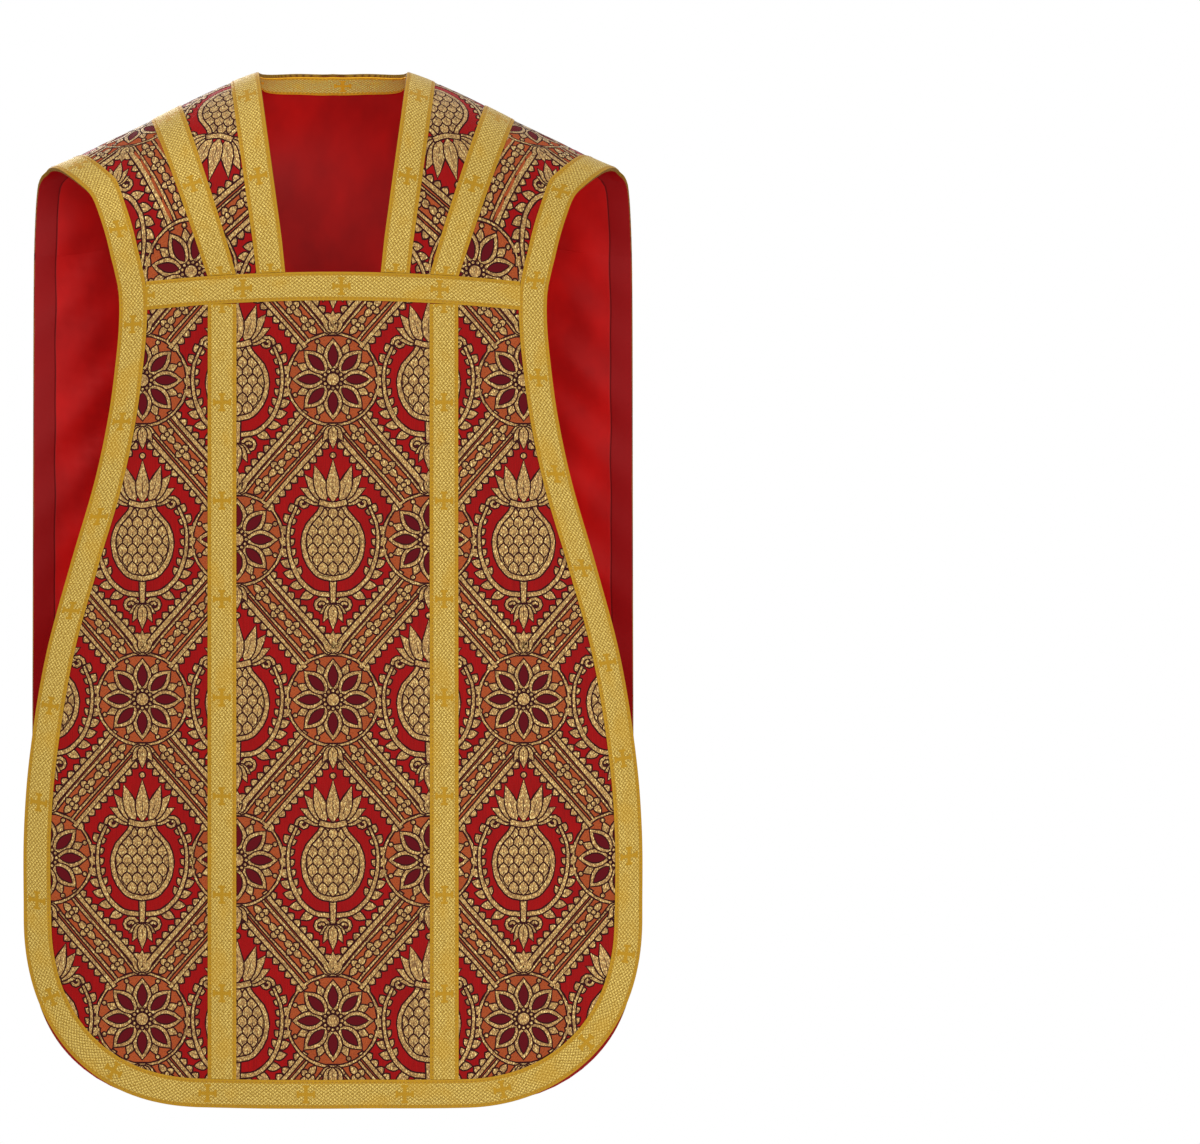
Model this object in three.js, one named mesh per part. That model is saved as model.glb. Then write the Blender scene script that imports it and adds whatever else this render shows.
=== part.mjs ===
// A Roman chasuble, hollow as it is worn. The back is cut in one with the two shoulder straps, which come over
// the shoulders to the chest seam. The front is narrow at the chest and wide at the hem. Gold bands lie on both.
// Millimetres, +Z up, -Y to the front. The origin is midway between the shoulder lines, beside the neck.
// Only the wearer's left half, +X, is worked out: the other half mirrors it.

import * as THREE from "three";

const cloth = { wall: 2, lining: 1, band: 1, gap: 0.3 };
const bandWidth = 30;
const halfWidth = 330;
const backHem = -1128;
const frontHem = -1097;
const degree = Math.PI / 180;

// The shoulder line as the front view shows it, from the neck to past the tip.
const shoulderLine = [
  { x: 0, z: 17 },
  { x: 40, z: 14 },
  { x: 80, z: 3 },
  { x: 110, z: -8 },
  { x: 144, z: -23 },
  { x: 198, z: -50 },
  { x: 236, z: -68 },
  { x: 283, z: -91 },
  { x: 309, z: -102 },
  { x: 340, z: -116 },
];

// How far the cloth stands out from the shoulder line, how much less at its sides, and the height over which it
// turns from level on the shoulder to upright, beside the neck and at the tip. hemMove is added at the hem.
const backSide = { way: 1, depth: 100, curl: 65, hemCurl: 50, neckFall: 140, tipFall: 80, hemMove: -6 };
const frontSide = { way: -1, depth: 112, curl: 45, hemCurl: 30, neckFall: 202, tipFall: 95, hemMove: 6 };
const hanging = { from: -200, length: 900 };

// Half the width of each panel, by how far it is below the origin.
const backEdge = [
  { down: 102, x: 309 },
  { down: 108, x: 317 },
  { down: 118, x: 322 },
  { down: 150, x: 326 },
  { down: 200, x: 328 },
  { down: 400, x: 329 },
  { down: 1005, x: 331 },
];
const frontEdge = [
  { down: 217, x: 229 },
  { down: 247, x: 225 },
  { down: 277, x: 225 },
  { down: 312, x: 228 },
  { down: 372, x: 236 },
  { down: 442, x: 251 },
  { down: 527, x: 276 },
  { down: 627, x: 303 },
  { down: 732, x: 320 },
  { down: 812, x: 326 },
  { down: 917, x: 326 },
];
const backCorner = { across: 180, down: 175, squareness: 2.2 };
const frontCorner = { across: 190, down: 198, squareness: 2.2 };

// The strap's outer edge, by the angle through which the cloth has turned over the shoulder.
const strapEdge = [
  { turn: 0, x: 309 },
  { turn: 11, x: 303.5 },
  { turn: 22, x: 295 },
  { turn: 34, x: 284 },
  { turn: 45, x: 271 },
  { turn: 56, x: 256 },
  { turn: 68, x: 246 },
  { turn: 79, x: 238 },
  { turn: 90, x: 231 },
];

const neck = { shoulder: 80, chest: 50, backTurn: 20.5, bandTurn: 18.5 };
const chest = { z: -223, drop: 9, dropAt: 200, edge: 228, archEnd: -460 };
const backBand = { inner: 95.5, shoulderShift: 15.5 };
const frontBand = { inner: 101 };
// The chevron's two edges, on the shoulder line, at the chest seam and where they meet mid back.
const chevron = { inner: 164, outer: 196, chest: 101.5, pointTop: -257, pointBottom: -308 };

const strapTurns = 8;
const strapFallShare = 0.88; // of the strap's height, above where it is upright
const backTurns = [0, neck.bandTurn, 33, 47.5, 62, 76, 90];
const levelRow = -330; // the back's rows run level from here down
const rowsToLevel = 4;
const rowStep = 47;
const cornerRows = 7;
const neckColumns = 3;

// The columns of the back and straps: 0 to 3 across the neck, 3 to 4 a band, 5 to 6 the chevron on the strap.
const column = { bandInner: 3, bandOuter: 4, chevronInner: 5, chevronOuter: 6, ring: 8, edge: 9 };
const frontColumn = { bandInner: 3, bandOuter: 4, ring: 7, edge: 8 };

// The smooth value of one column of a table, where another column, which grows down the table, has a value.
function lookUp(table, known, wanted, value) {
  const last = table.length - 1;
  const slope = (i) => {
    const before = table[Math.max(i - 1, 0)];
    const after = table[Math.min(i + 1, last)];
    return (after[wanted] - before[wanted]) / (after[known] - before[known]);
  };
  let i = 0;
  while (i < last - 1 && value > table[i + 1][known]) i++;
  const step = table[i + 1][known] - table[i][known];
  const t = THREE.MathUtils.clamp((value - table[i][known]) / step, 0, 1);
  const blend = t * t * (3 - 2 * t);
  return (
    THREE.MathUtils.lerp(table[i][wanted], table[i + 1][wanted], blend) +
    step * (slope(i) * t * (1 - t) ** 2 - slope(i + 1) * t * t * (1 - t))
  );
}

const shoulderHeight = (x) => lookUp(shoulderLine, "x", "z", x);
const fallHeight = (side, x) => THREE.MathUtils.lerp(side.neckFall, side.tipFall, (x / halfWidth) ** 2);
const heightAfter = (side, x, turn) =>
  shoulderHeight(x) - fallHeight(side, x) * (1 - Math.cos(turn * degree));

// The middle of the cloth's thickness at x and z, on the back or the front of the figure.
function onFigure(side, x, z) {
  const fallen = THREE.MathUtils.clamp((shoulderHeight(x) - z) / fallHeight(side, x), 0, 1);
  const low = THREE.MathUtils.clamp((hanging.from - z) / hanging.length, 0, 1);
  const curl = THREE.MathUtils.lerp(side.curl, side.hemCurl, low) * (x / halfWidth) ** 2;
  const depth = side.depth - curl + side.hemMove * low;
  return new THREE.Vector3(x, side.way * depth * Math.sqrt(1 - (1 - fallen) ** 2), z);
}

const shares = (count) => Array.from({ length: count + 1 }, (_, i) => i / count);

// How far along its row the inner line of an edge band lies from the edge, so that the band keeps its width.
function ringStep(side, edges, row) {
  const edge = edges[row];
  const along = edges[Math.min(row + 1, edges.length - 1)].clone().sub(edges[Math.max(row - 1, 0)]);
  const turned = shoulderHeight(edge.x) - edge.z;
  const inward = onFigure(side, edge.x - 1, shoulderHeight(edge.x - 1) - turned).sub(edge);
  return bandWidth / Math.sin(along.angleTo(inward)) / inward.length();
}

// A rounded lower corner: its points on the edge and bandWidth inside it, from the side to the hem.
function roundedCorner(corner, side, widest, hem) {
  const middle = { x: widest - corner.across, z: hem + corner.down };
  const power = 2 / corner.squareness;
  const at = (share) => ({
    x: middle.x + corner.across * Math.cos(share * 90 * degree) ** power,
    z: middle.z - corner.down * Math.sin(share * 90 * degree) ** power,
  });
  return shares(cornerRows).map((share, i) => {
    const point = at(Math.min(share, 0.99999));
    const outward = { x: 1, z: 0 };
    if (i === cornerRows) Object.assign(outward, { x: 0, z: -1 });
    else if (i > 0) {
      const before = at(share - 0.01);
      const after = at(share + 0.01);
      const length = Math.hypot(after.x - before.x, after.z - before.z);
      Object.assign(outward, { x: (before.z - after.z) / length, z: (after.x - before.x) / length });
    }
    return {
      edge: onFigure(side, point.x, point.z),
      ring: { x: point.x - bandWidth * outward.x, z: point.z - bandWidth * outward.z },
    };
  });
}

// The rows of a panel's rounded corners, and the hem below them. columnsTo gives a row's places from its ring.
function addCornerRows(rows, corner, side, widest, hem, columnsTo) {
  const points = roundedCorner(corner, side, widest, hem);
  points.slice(1).forEach(({ edge, ring }) => {
    rows.push([...columnsTo(ring.x, 90).map((x) => onFigure(side, x, ring.z)), edge]);
  });
  const last = rows.at(-1);
  last.hem = last.slice(0, -1).map((point) => onFigure(side, point.x, hem));
  last.hem[last.hem.length - 1] = last.at(-1);
}

// The back's places across a row: the neck's share, the band, and the rest of the way to the ring line.
function backColumns(ring, turn) {
  const shift = backBand.shoulderShift * Math.sin(turn * degree);
  const inner = neck.shoulder + shift;
  const outer = inner + bandWidth;
  const atShoulder = neck.shoulder + bandWidth;
  const rest = [chevron.inner, chevron.outer, (chevron.outer + ringAtShoulder) / 2, ringAtShoulder];
  const share = rest.map((x) => (x - atShoulder) / (ringAtShoulder - atShoulder));
  const beyondBand = share.map((s) => outer + s * (ring - outer));
  return [...shares(neckColumns).map((s) => s * inner), outer, ...beyondBand];
}

// The back's edge on a row that has turned by an angle. Its width and the shoulder line both depend on x.
function backEdgeAfter(turn) {
  let x = backEdge[0].x;
  for (let i = 0; i < 6; i++) x = lookUp(backEdge, "down", "x", -heightAfter(backSide, x, turn));
  return onFigure(backSide, x, heightAfter(backSide, x, turn));
}

// The turn at x of a row of the back. Above the neck's edge there is no cloth, so the rows start there.
function turnAt(x, turn) {
  const atNeck = neck.backTurn * Math.sqrt(Math.max(1 - (x / neck.shoulder) ** 2, 0));
  return atNeck + turn * (1 - atNeck / 90);
}

function backRows() {
  const flatRows = Math.round((levelRow - (backHem + backCorner.down)) / rowStep);
  const upright = backEdgeAfter(90);
  const levels = [
    ...shares(rowsToLevel).slice(1).map((share) => ({ share, level: levelRow })),
    ...shares(flatRows).slice(1).map((s) => ({
      share: 1,
      level: THREE.MathUtils.lerp(levelRow, backHem + backCorner.down, s),
    })),
  ];
  const edges = [
    ...backTurns.map(backEdgeAfter),
    ...levels.map(({ share, level }) => {
      const z = THREE.MathUtils.lerp(upright.z, level, share);
      return onFigure(backSide, lookUp(backEdge, "down", "x", -z), z);
    }),
  ];
  const rows = edges.map((edge, row) => {
    const turn = backTurns[row] ?? 90;
    const ring = row === 0 ? ringAtShoulder : edge.x - ringStep(backSide, edges, row);
    const { share, level } = levels[row - backTurns.length] ?? { share: 0, level: 0 };
    const places = backColumns(ring, turn).map((x) => {
      const z = THREE.MathUtils.lerp(heightAfter(backSide, x, turnAt(x, turn)), level, share);
      return onFigure(backSide, x, z);
    });
    return [...places, edge];
  });
  addCornerRows(rows, backCorner, backSide, edges.at(-1).x, backHem, backColumns);
  return rows;
}

const chestHeight = (x) => chest.z - chest.drop * (x / chest.dropAt) ** 2;

function strapEdges() {
  const turned = shares(strapTurns).map((s) => {
    const x = lookUp(strapEdge, "turn", "x", s * 90);
    return onFigure(frontSide, x, heightAfter(frontSide, x, s * 90));
  });
  return [...turned, onFigure(frontSide, chest.edge, chestHeight(chest.edge) + cloth.gap / 2)];
}

const ringAtShoulder = strapEdges()[0].x - ringStep(frontSide, strapEdges(), 0);

function strapRows() {
  const edges = strapEdges();
  return edges.map((edge, row) => {
    const turn = Math.min(row / strapTurns, 1) * 90;
    const atChest = row > strapTurns;
    const share = atChest ? 1 : strapFallShare * (1 - Math.cos(turn * degree));
    const ring = row === 0 ? ringAtShoulder : edge.x - ringStep(frontSide, edges, row);
    const neckEdge = THREE.MathUtils.lerp(neck.shoulder, neck.chest, share);
    const inner = THREE.MathUtils.lerp(chevron.inner, chevron.chest, share);
    const outer = THREE.MathUtils.lerp(chevron.outer, chevron.chest + bandWidth, share);
    const places = [neckEdge, neckEdge + bandWidth, inner, outer, (outer + ring) / 2, ring].map((x) => {
      const z = atChest ? chestHeight(x) + cloth.gap / 2 : heightAfter(frontSide, x, turn);
      return onFigure(frontSide, x, z);
    });
    return [...places, edge];
  });
}

function frontColumns(ring) {
  const outer = frontBand.inner + bandWidth;
  return [
    ...shares(neckColumns).map((s) => s * frontBand.inner),
    ...shares(neckColumns).map((s) => THREE.MathUtils.lerp(outer, ring, s)),
  ];
}

// The front's rows start at the chest seam, arched as it is, and grow level by chest.archEnd.
function frontRows() {
  const below = chest.z - bandWidth;
  const corner = frontHem + frontCorner.down;
  const flatRows = Math.round((below - corner) / rowStep);
  const levels = [chest.z, ...shares(flatRows).map((s) => THREE.MathUtils.lerp(below, corner, s))];
  const heightIn = (row, x) => {
    const arch = THREE.MathUtils.clamp((levels[row] - chest.archEnd) / (below - chest.archEnd), 0, 1);
    const seam = row === 0 ? cloth.gap / 2 : 0;
    return levels[row] - arch * chest.drop * (x / chest.dropAt) ** 2 - seam;
  };
  const edges = levels.map((level, row) => {
    const x = row === 0 ? chest.edge : lookUp(frontEdge, "down", "x", -level);
    return onFigure(frontSide, x, heightIn(row, x));
  });
  const rows = edges.map((edge, row) => {
    const ring = row === 0 ? edge.x - bandWidth : edge.x - ringStep(frontSide, edges, row);
    return [...frontColumns(ring).map((x) => onFigure(frontSide, x, heightIn(row, x))), edge];
  });
  addCornerRows(rows, frontCorner, frontSide, edges.at(-1).x, frontHem, frontColumns);
  return rows;
}

const keyOf = (point) => point.toArray().map((c) => c.toFixed(3)).join();

// A sheet holds its corners, each with its place, its column and the way out of the cloth, and its triangles.
function newSheet() {
  return { corners: new Map(), faces: [] };
}

function cornerOf(sheet, point, col) {
  const key = keyOf(point);
  if (!sheet.corners.has(key)) sheet.corners.set(key, { point, out: new THREE.Vector3(), col });
  return sheet.corners.get(key);
}

// Adds the four-sided cells between rows of points. Those on the front of the figure are wound the other way.
function addCells(sheet, rows, zone, firstRow, firstColumn, onFront) {
  for (let row = 0; row + 1 < rows.length; row++)
    for (let i = 0; i + 1 < Math.min(rows[row].length, rows[row + 1].length); i++) {
      const around = [rows[row][i], rows[row][i + 1], rows[row + 1][i + 1], rows[row + 1][i]];
      const atColumn = (k) => firstColumn + i + (k % 3 ? 1 : 0);
      const [a, b, c, d] = around.map((point, k) => cornerOf(sheet, point, atColumn(k)));
      for (const corners of [
        [a, b, c],
        [a, c, d],
      ]) {
        if (onFront) corners.reverse();
        sheet.faces.push({ corners, zone, row: firstRow + row, col: firstColumn + i });
      }
    }
}

// Each corner's way out is the mean of its triangles', and has no sideways part on the middle line.
function finishSheet(sheet) {
  for (const { corners } of sheet.faces) {
    const [a, b, c] = corners.map((corner) => corner.point);
    const out = b.clone().sub(a).cross(c.clone().sub(a));
    corners.forEach((corner) => corner.out.add(out));
  }
  for (const corner of sheet.corners.values()) {
    if (Math.abs(corner.point.x) < 1e-6) corner.out.x = 0;
    corner.out.normalize();
  }
  return sheet;
}

const backGrid = backRows();
const strapGrid = strapRows();
const frontGrid = frontRows();

const backSheet = newSheet();
addCells(backSheet, backGrid, "back", 0, 0, false);
addCells(backSheet, [backGrid.at(-1).slice(0, -1), backGrid.at(-1).hem], "hem", 0, 0, false);
addCells(backSheet, strapGrid, "strap", 0, column.bandInner, true);
finishSheet(backSheet);

const frontSheet = newSheet();
addCells(frontSheet, frontGrid, "front", 0, 0, true);
addCells(frontSheet, [frontGrid.at(-1).slice(0, -1), frontGrid.at(-1).hem], "hem", 0, 0, true);
finishSheet(frontSheet);

const mirrored = (faces) =>
  faces.map((face) => ({
    ...face,
    corners: face.corners
      .map(({ point, out, col }) => ({
        point: new THREE.Vector3(-point.x, point.y, point.z),
        out: new THREE.Vector3(-out.x, out.y, out.z),
        col,
      }))
      .reverse(),
  }));

const bothSides = (faces) => [...faces, ...mirrored(faces)];

// What is left of the faces where direction · point is at least limit. New corners lie on the old faces.
function trim(faces, direction, limit) {
  const tiny = 1e-6;
  return faces.flatMap((face) => {
    const beyond = face.corners.map(({ point }) => direction.dot(point) - limit);
    const corners = face.corners.flatMap((corner, i) => {
      const next = (i + 1) % face.corners.length;
      const kept = beyond[i] >= -tiny ? [corner] : [];
      const clear = Math.abs(beyond[i]) > tiny && Math.abs(beyond[next]) > tiny;
      const crosses = clear && beyond[i] * beyond[next] < 0;
      if (crosses) {
        const share = beyond[i] / (beyond[i] - beyond[next]);
        const other = face.corners[next];
        kept.push({
          point: corner.point.clone().lerp(other.point, share),
          out: corner.out.clone().lerp(other.out, share),
          col: THREE.MathUtils.lerp(corner.col, other.col, share),
        });
      }
      return kept;
    });
    return corners.length > 2 ? [{ ...face, corners }] : [];
  });
}

// Trims the faces back by a distance from the line between two points of a sheet, on inside's side of it.
function trimFrom(faces, sheet, from, to, inside, distance) {
  const out = sheet.corners.get(keyOf(from)).out;
  const direction = to.clone().sub(from).cross(out).normalize();
  if (direction.dot(inside.clone().sub(from)) < 0) direction.negate();
  return trim(faces, direction, direction.dot(from) + distance);
}

// A closed solid over the faces, between two distances out from the middle of the cloth. raise adds to both.
function solidOver(faces, low, high, raise = () => 0) {
  const numbers = new Map();
  const positions = [];
  const numberOf = (corner) => {
    const key = keyOf(corner.point);
    if (!numbers.has(key)) {
      numbers.set(key, numbers.size);
      for (const distance of [high, low]) {
        const place = corner.point.clone().addScaledVector(corner.out, distance + raise(corner));
        positions.push(...place.toArray());
      }
    }
    return numbers.get(key);
  };
  const outlines = faces
    .map(({ corners }) => corners.map(numberOf).filter((n, i, all) => n !== all.at(i - 1)))
    .filter((outline) => outline.length > 2);
  const sides = new Set();
  const triangles = [];
  for (const outline of outlines) {
    outline.forEach((n, i) => sides.add(n + "," + outline[(i + 1) % outline.length]));
    for (let i = 1; i + 1 < outline.length; i++) {
      const [a, b, c] = [outline[0], outline[i], outline[i + 1]].map((n) => 2 * n);
      triangles.push(a, b, c, c + 1, b + 1, a + 1);
    }
  }
  for (const side of sides) {
    const [a, b] = side.split(",").map(Number);
    if (!sides.has(b + "," + a)) triangles.push(2 * b, 2 * a, 2 * a + 1, 2 * b, 2 * a + 1, 2 * b + 1);
  }
  const geometry = new THREE.BufferGeometry();
  geometry.setAttribute("position", new THREE.Float32BufferAttribute(positions, 3));
  geometry.setIndex(triangles);
  geometry.computeVertexNormals();
  return geometry;
}

const outside = cloth.wall / 2 + cloth.gap;
const liningInside = outside + cloth.lining;
const overBand = cloth.band + cloth.gap;

const materials = {
  brocade: new THREE.MeshStandardMaterial({ color: 0xa3231c, roughness: 0.55, metalness: 0.1 }),
  lining: new THREE.MeshStandardMaterial({ color: 0x9c1212, roughness: 0.45, metalness: 0 }),
  band: new THREE.MeshStandardMaterial({ color: 0xd0a83a, roughness: 0.4, metalness: 0.6 }),
};

const chasuble = new THREE.Group();
chasuble.name = "roman_chasuble";

function addPiece(name, geometry, material) {
  const piece = new THREE.Mesh(geometry, material);
  piece.name = name;
  chasuble.add(piece);
}

function addBand(name, faces, raise) {
  addPiece(name, solidOver(faces, outside, outside + cloth.band, raise), materials.band);
}

// Adds a band on the wearer's left and its mirror image.
function addBandPair(name, faces, raise) {
  addBand(name + "_left", faces, raise);
  addBand(name + "_right", mirrored(faces), raise);
}

const facesIn = (sheet, zone, wanted) => sheet.faces.filter((face) => face.zone === zone && wanted(face));

function addPanels() {
  const half = cloth.wall / 2;
  addPiece("back_panel", solidOver(bothSides(backSheet.faces), -half, half), materials.brocade);
  addPiece("back_lining", solidOver(bothSides(backSheet.faces), -liningInside, -outside), materials.lining);
  addPiece("front_panel", solidOver(bothSides(frontSheet.faces), -half, half), materials.brocade);
}

// The neck's bands meet in a mitre behind each shoulder line, from the neck's corner to the band's outer one.
function addNeckBands() {
  const corner = backGrid[0][column.bandInner];
  const mitre = backGrid[1][column.bandOuter];
  const ahead = strapGrid[1][1];
  const behind = backGrid[1][0];
  const isCorner = ({ row, col }) => row === 0 && col === column.bandInner;
  const cornerFaces = facesIn(backSheet, "back", isCorner);
  const strap = facesIn(backSheet, "strap", ({ col }) => col === column.bandInner);
  const side = trimFrom([...strap, cornerFaces[0]], backSheet, corner, mitre, ahead, cloth.gap / 2);
  addBandPair("neck_band", side);
  const acrossBack = facesIn(backSheet, "back", ({ row, col }) => row === 0 && col < column.bandInner);
  const back = trimFrom([...acrossBack, cornerFaces[1]], backSheet, corner, mitre, behind, cloth.gap / 2);
  addBand("neck_band_back", bothSides(back));
  const inside = liningInside + cloth.gap;
  const facing = solidOver(bothSides(acrossBack), -inside - cloth.band, -inside);
  addPiece("neck_facing_back", facing, materials.band);
}

// The chevron runs over the shoulders from the chest seam to its point on the back, across the upright bands.
function addChevron() {
  const lineBetween = (x, point, keepUpper) => {
    const along = new THREE.Vector3(x, 0, shoulderHeight(x) - point).normalize();
    const up = new THREE.Vector3(-along.z, 0, along.x).multiplyScalar(keepUpper ? 1 : -1);
    return [up, up.z * point];
  };
  const strap = facesIn(backSheet, "strap", ({ col }) => col === column.chevronInner);
  let back = facesIn(backSheet, "back", () => true);
  back = trim(back, ...lineBetween(chevron.outer, chevron.pointBottom, true));
  back = trim(back, ...lineBetween(chevron.inner, chevron.pointTop, false));
  back = trim(back, new THREE.Vector3(1, 0, 0), cloth.gap / 2);
  const tiny = 1e-3;
  const onUpright = (col) => col > column.bandInner - tiny && col < column.bandOuter + tiny;
  const overUpright = ({ col }) => (onUpright(col) ? overBand : 0);
  addBandPair("shoulder_band", [...strap, ...back], overUpright);
}

// The upright bands stop just short of what crosses them at each end.
function addUprightBands() {
  const upright = (sheet, zone, grid, inner, outer) => {
    const last = grid.length - 1;
    let faces = facesIn(sheet, zone, ({ row, col }) => col === inner && row > 0 && row < last);
    faces = trimFrom(faces, sheet, grid[1][inner], grid[1][outer], grid[3][inner], cloth.gap);
    return trimFrom(faces, sheet, grid[last][inner], grid[last][outer], grid[last - 2][inner], cloth.gap);
  };
  addBandPair("back_band", upright(backSheet, "back", backGrid, column.bandInner, column.bandOuter));
  const { bandInner, bandOuter } = frontColumn;
  addBandPair("front_band", upright(frontSheet, "front", frontGrid, bandInner, bandOuter));
}

function addChestBand() {
  const top = frontGrid[0][frontColumn.ring];
  const bottom = frontGrid[1][frontColumn.ring];
  const faces = facesIn(frontSheet, "front", ({ row, col }) => row === 0 && col < frontColumn.ring);
  addBand("chest_band", bothSides(trimFrom(faces, frontSheet, top, bottom, frontGrid[0][0], cloth.gap)));
}

// The edge bands: one round the back, and one round the front that goes on up the straps to the shoulders.
function addEdging() {
  const ringEnd = backGrid[0][column.ring];
  const tip = backGrid[0][column.edge];
  const backRing = [
    ...facesIn(backSheet, "back", ({ col }) => col === column.ring),
    ...facesIn(backSheet, "hem", () => true),
  ];
  const back = trimFrom(backRing, backSheet, ringEnd, tip, backGrid[1][column.ring], cloth.gap / 2);
  addBand("edging_back", bothSides(back));
  const strapRing = facesIn(backSheet, "strap", ({ col }) => col === column.ring);
  const strap = trimFrom(strapRing, backSheet, ringEnd, tip, strapGrid[1].at(-2), cloth.gap / 2);
  const strapEnd = strapGrid.at(-1).slice(-2).map((point) => backSheet.corners.get(keyOf(point)));
  const frontTop = frontGrid[0].slice(-2).map((point) => frontSheet.corners.get(keyOf(point)));
  const acrossSeam = { corners: [strapEnd[0], frontTop[0], frontTop[1], strapEnd[1]] };
  const frontRing = [
    ...facesIn(frontSheet, "front", ({ col }) => col === frontColumn.ring),
    ...facesIn(frontSheet, "hem", () => true),
  ];
  addBand("edging_front", bothSides([...strap, acrossSeam, ...frontRing]));
}

addPanels();
addNeckBands();
addChevron();
addUprightBands();
addChestBand();
addEdging();

export default chasuble;
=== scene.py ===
import math

import bmesh
import bpy
import numpy as np
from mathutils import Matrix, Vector
from mathutils.geometry import delaunay_2d_cdt


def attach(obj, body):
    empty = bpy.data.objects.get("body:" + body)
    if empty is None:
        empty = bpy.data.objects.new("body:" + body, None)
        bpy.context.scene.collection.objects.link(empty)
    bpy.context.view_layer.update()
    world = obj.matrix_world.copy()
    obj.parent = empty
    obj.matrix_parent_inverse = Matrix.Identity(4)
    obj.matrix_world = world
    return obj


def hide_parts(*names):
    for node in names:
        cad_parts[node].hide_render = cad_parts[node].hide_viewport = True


# Roman chasuble, worn and hollow. Sizes are in millimetres and meshes in metres.
# Every cloth layer is the same figure surface moved out or in, so the layers never cross.

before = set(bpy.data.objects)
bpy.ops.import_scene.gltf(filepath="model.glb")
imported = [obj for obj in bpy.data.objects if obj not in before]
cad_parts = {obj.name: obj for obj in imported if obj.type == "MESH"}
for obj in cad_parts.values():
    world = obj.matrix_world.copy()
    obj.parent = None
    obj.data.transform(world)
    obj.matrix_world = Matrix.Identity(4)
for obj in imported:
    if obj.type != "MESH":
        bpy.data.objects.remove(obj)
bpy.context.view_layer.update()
bpy.ops.object.select_all(action="DESELECT")
mm = 0.001
joined = np.concatenate
print("frame loaded")

figure = {
    "shoulderX": [0, 40, 80, 110, 144, 198, 236, 283, 309, 340],
    "shoulderZ": [17, 14, 3, -8, -23, -50, -68, -91, -102, -116],
    "halfWidth": 330,
    "hangFrom": -200,
    "hangLength": 900,
    "way": {"back": 1, "front": -1},
    "depth": {"back": 100, "front": 112},
    "curl": {"back": 65, "front": 45},
    "hemCurl": {"back": 50, "front": 30},
    "neckFall": {"back": 140, "front": 202},
    "tipFall": {"back": 80, "front": 95},
    "hemMove": {"back": -6, "front": 6},
}

cut = {
    "backDown": [102, 108, 118, 150, 200, 400, 953],
    "backX": [309, 317, 322, 326, 328, 329, 331],
    "backCorner": (180, 175, 2.2),  # across, down, squareness
    "backHem": -1128,
    "frontDown": [217, 247, 277, 312, 372, 442, 527, 627, 732, 812, 899],
    "frontX": [229, 225, 225, 228, 236, 251, 276, 303, 320, 326, 326],
    "frontCorner": (190, 198, 2.2),
    "frontHem": -1097,
    "strapTurn": [0, 11, 22, 34, 45, 56, 68, 79, 90, 92.5],
    "strapX": [309, 303.5, 295, 284, 271, 256, 246, 238, 231, 226.8],
    "neckShoulder": 80,
    "neckChest": 50,
    "neckTurn": 20.5,
    "bandTurn": 18.5,
    "chestZ": -223,
    "chestDrop": 9 / 200**2,
    "chestEdge": 228,
    "fallShare": 0.88,
}

layers = {"wall": 2.0, "gap": 0.3, "lining": 1.0, "braid": 1.0}
seamHalf = layers["gap"] / 2
braidWidth = 30.0
overWall = layers["wall"] / 2 + layers["gap"]


def smoothThrough(known, wanted):  # a smooth curve through a table's points
    k, w = np.array(known, float), np.array(wanted, float)
    slope = np.empty(len(k))
    slope[1:-1] = (w[2:] - w[:-2]) / (k[2:] - k[:-2])
    slope[0], slope[-1] = (w[1] - w[0]) / (k[1] - k[0]), (w[-1] - w[-2]) / (k[-1] - k[-2])

    def at(value):
        value = np.asarray(value, float)
        i = np.clip(np.searchsorted(k, value, side="right") - 1, 0, len(k) - 2)
        step = k[i + 1] - k[i]
        t = np.clip((value - k[i]) / step, 0, 1)
        blend = t * t * (3 - 2 * t)
        ends = slope[i] * t * (1 - t) ** 2 - slope[i + 1] * t * t * (1 - t)
        return w[i] + (w[i + 1] - w[i]) * blend + step * ends

    return at


shoulderZ = smoothThrough(figure["shoulderX"], figure["shoulderZ"])
backX = smoothThrough(cut["backDown"], cut["backX"])
frontX = smoothThrough(cut["frontDown"], cut["frontX"])
strapX = smoothThrough(cut["strapTurn"], cut["strapX"])


def ofSide(q, name):  # one of the figure's sizes for the front, where q is below 0, or for the back
    return np.where(q < 0, figure[name]["front"], figure[name]["back"])


def fallHeight(x, q):  # how far the cloth falls while it turns from level to upright
    share = (x / figure["halfWidth"]) ** 2
    return ofSide(q, "neckFall") * (1 - share) + ofSide(q, "tipFall") * share


# A place on the figure is x and q. q is 0 on the shoulder line, the angle turned down to 90 degrees,
# and then 90 plus the millimetres hung. It is below 0 on the front and above 0 on the back.
def figurePoint(x, q):
    a, turned = np.abs(x), np.abs(q)
    turn = np.radians(np.clip(turned, 0, 90))
    z = shoulderZ(a) - fallHeight(a, q) * (1 - np.cos(turn)) - np.maximum(turned - 90, 0)
    low = np.clip((figure["hangFrom"] - z) / figure["hangLength"], 0, 1)
    curl = (ofSide(q, "curl") * (1 - low) + ofSide(q, "hemCurl") * low) * (a / figure["halfWidth"]) ** 2
    depth = ofSide(q, "depth") - curl + ofSide(q, "hemMove") * low
    return np.stack([x, ofSide(q, "way") * depth * np.sin(turn), z], -1)


def figureOut(x, q):  # the way out of the cloth
    step = 0.5
    way = ofSide(q, "way") * 1.0
    far = np.abs(q) + step
    near = np.maximum(np.abs(q) - step, 0)
    across = figurePoint(x + step, q) - figurePoint(x - step, q)
    down = figurePoint(x, way * far) - figurePoint(x, way * near)
    out = np.cross(across, down) * way[..., None]
    return out / np.linalg.norm(out, axis=-1, keepdims=True)


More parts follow.
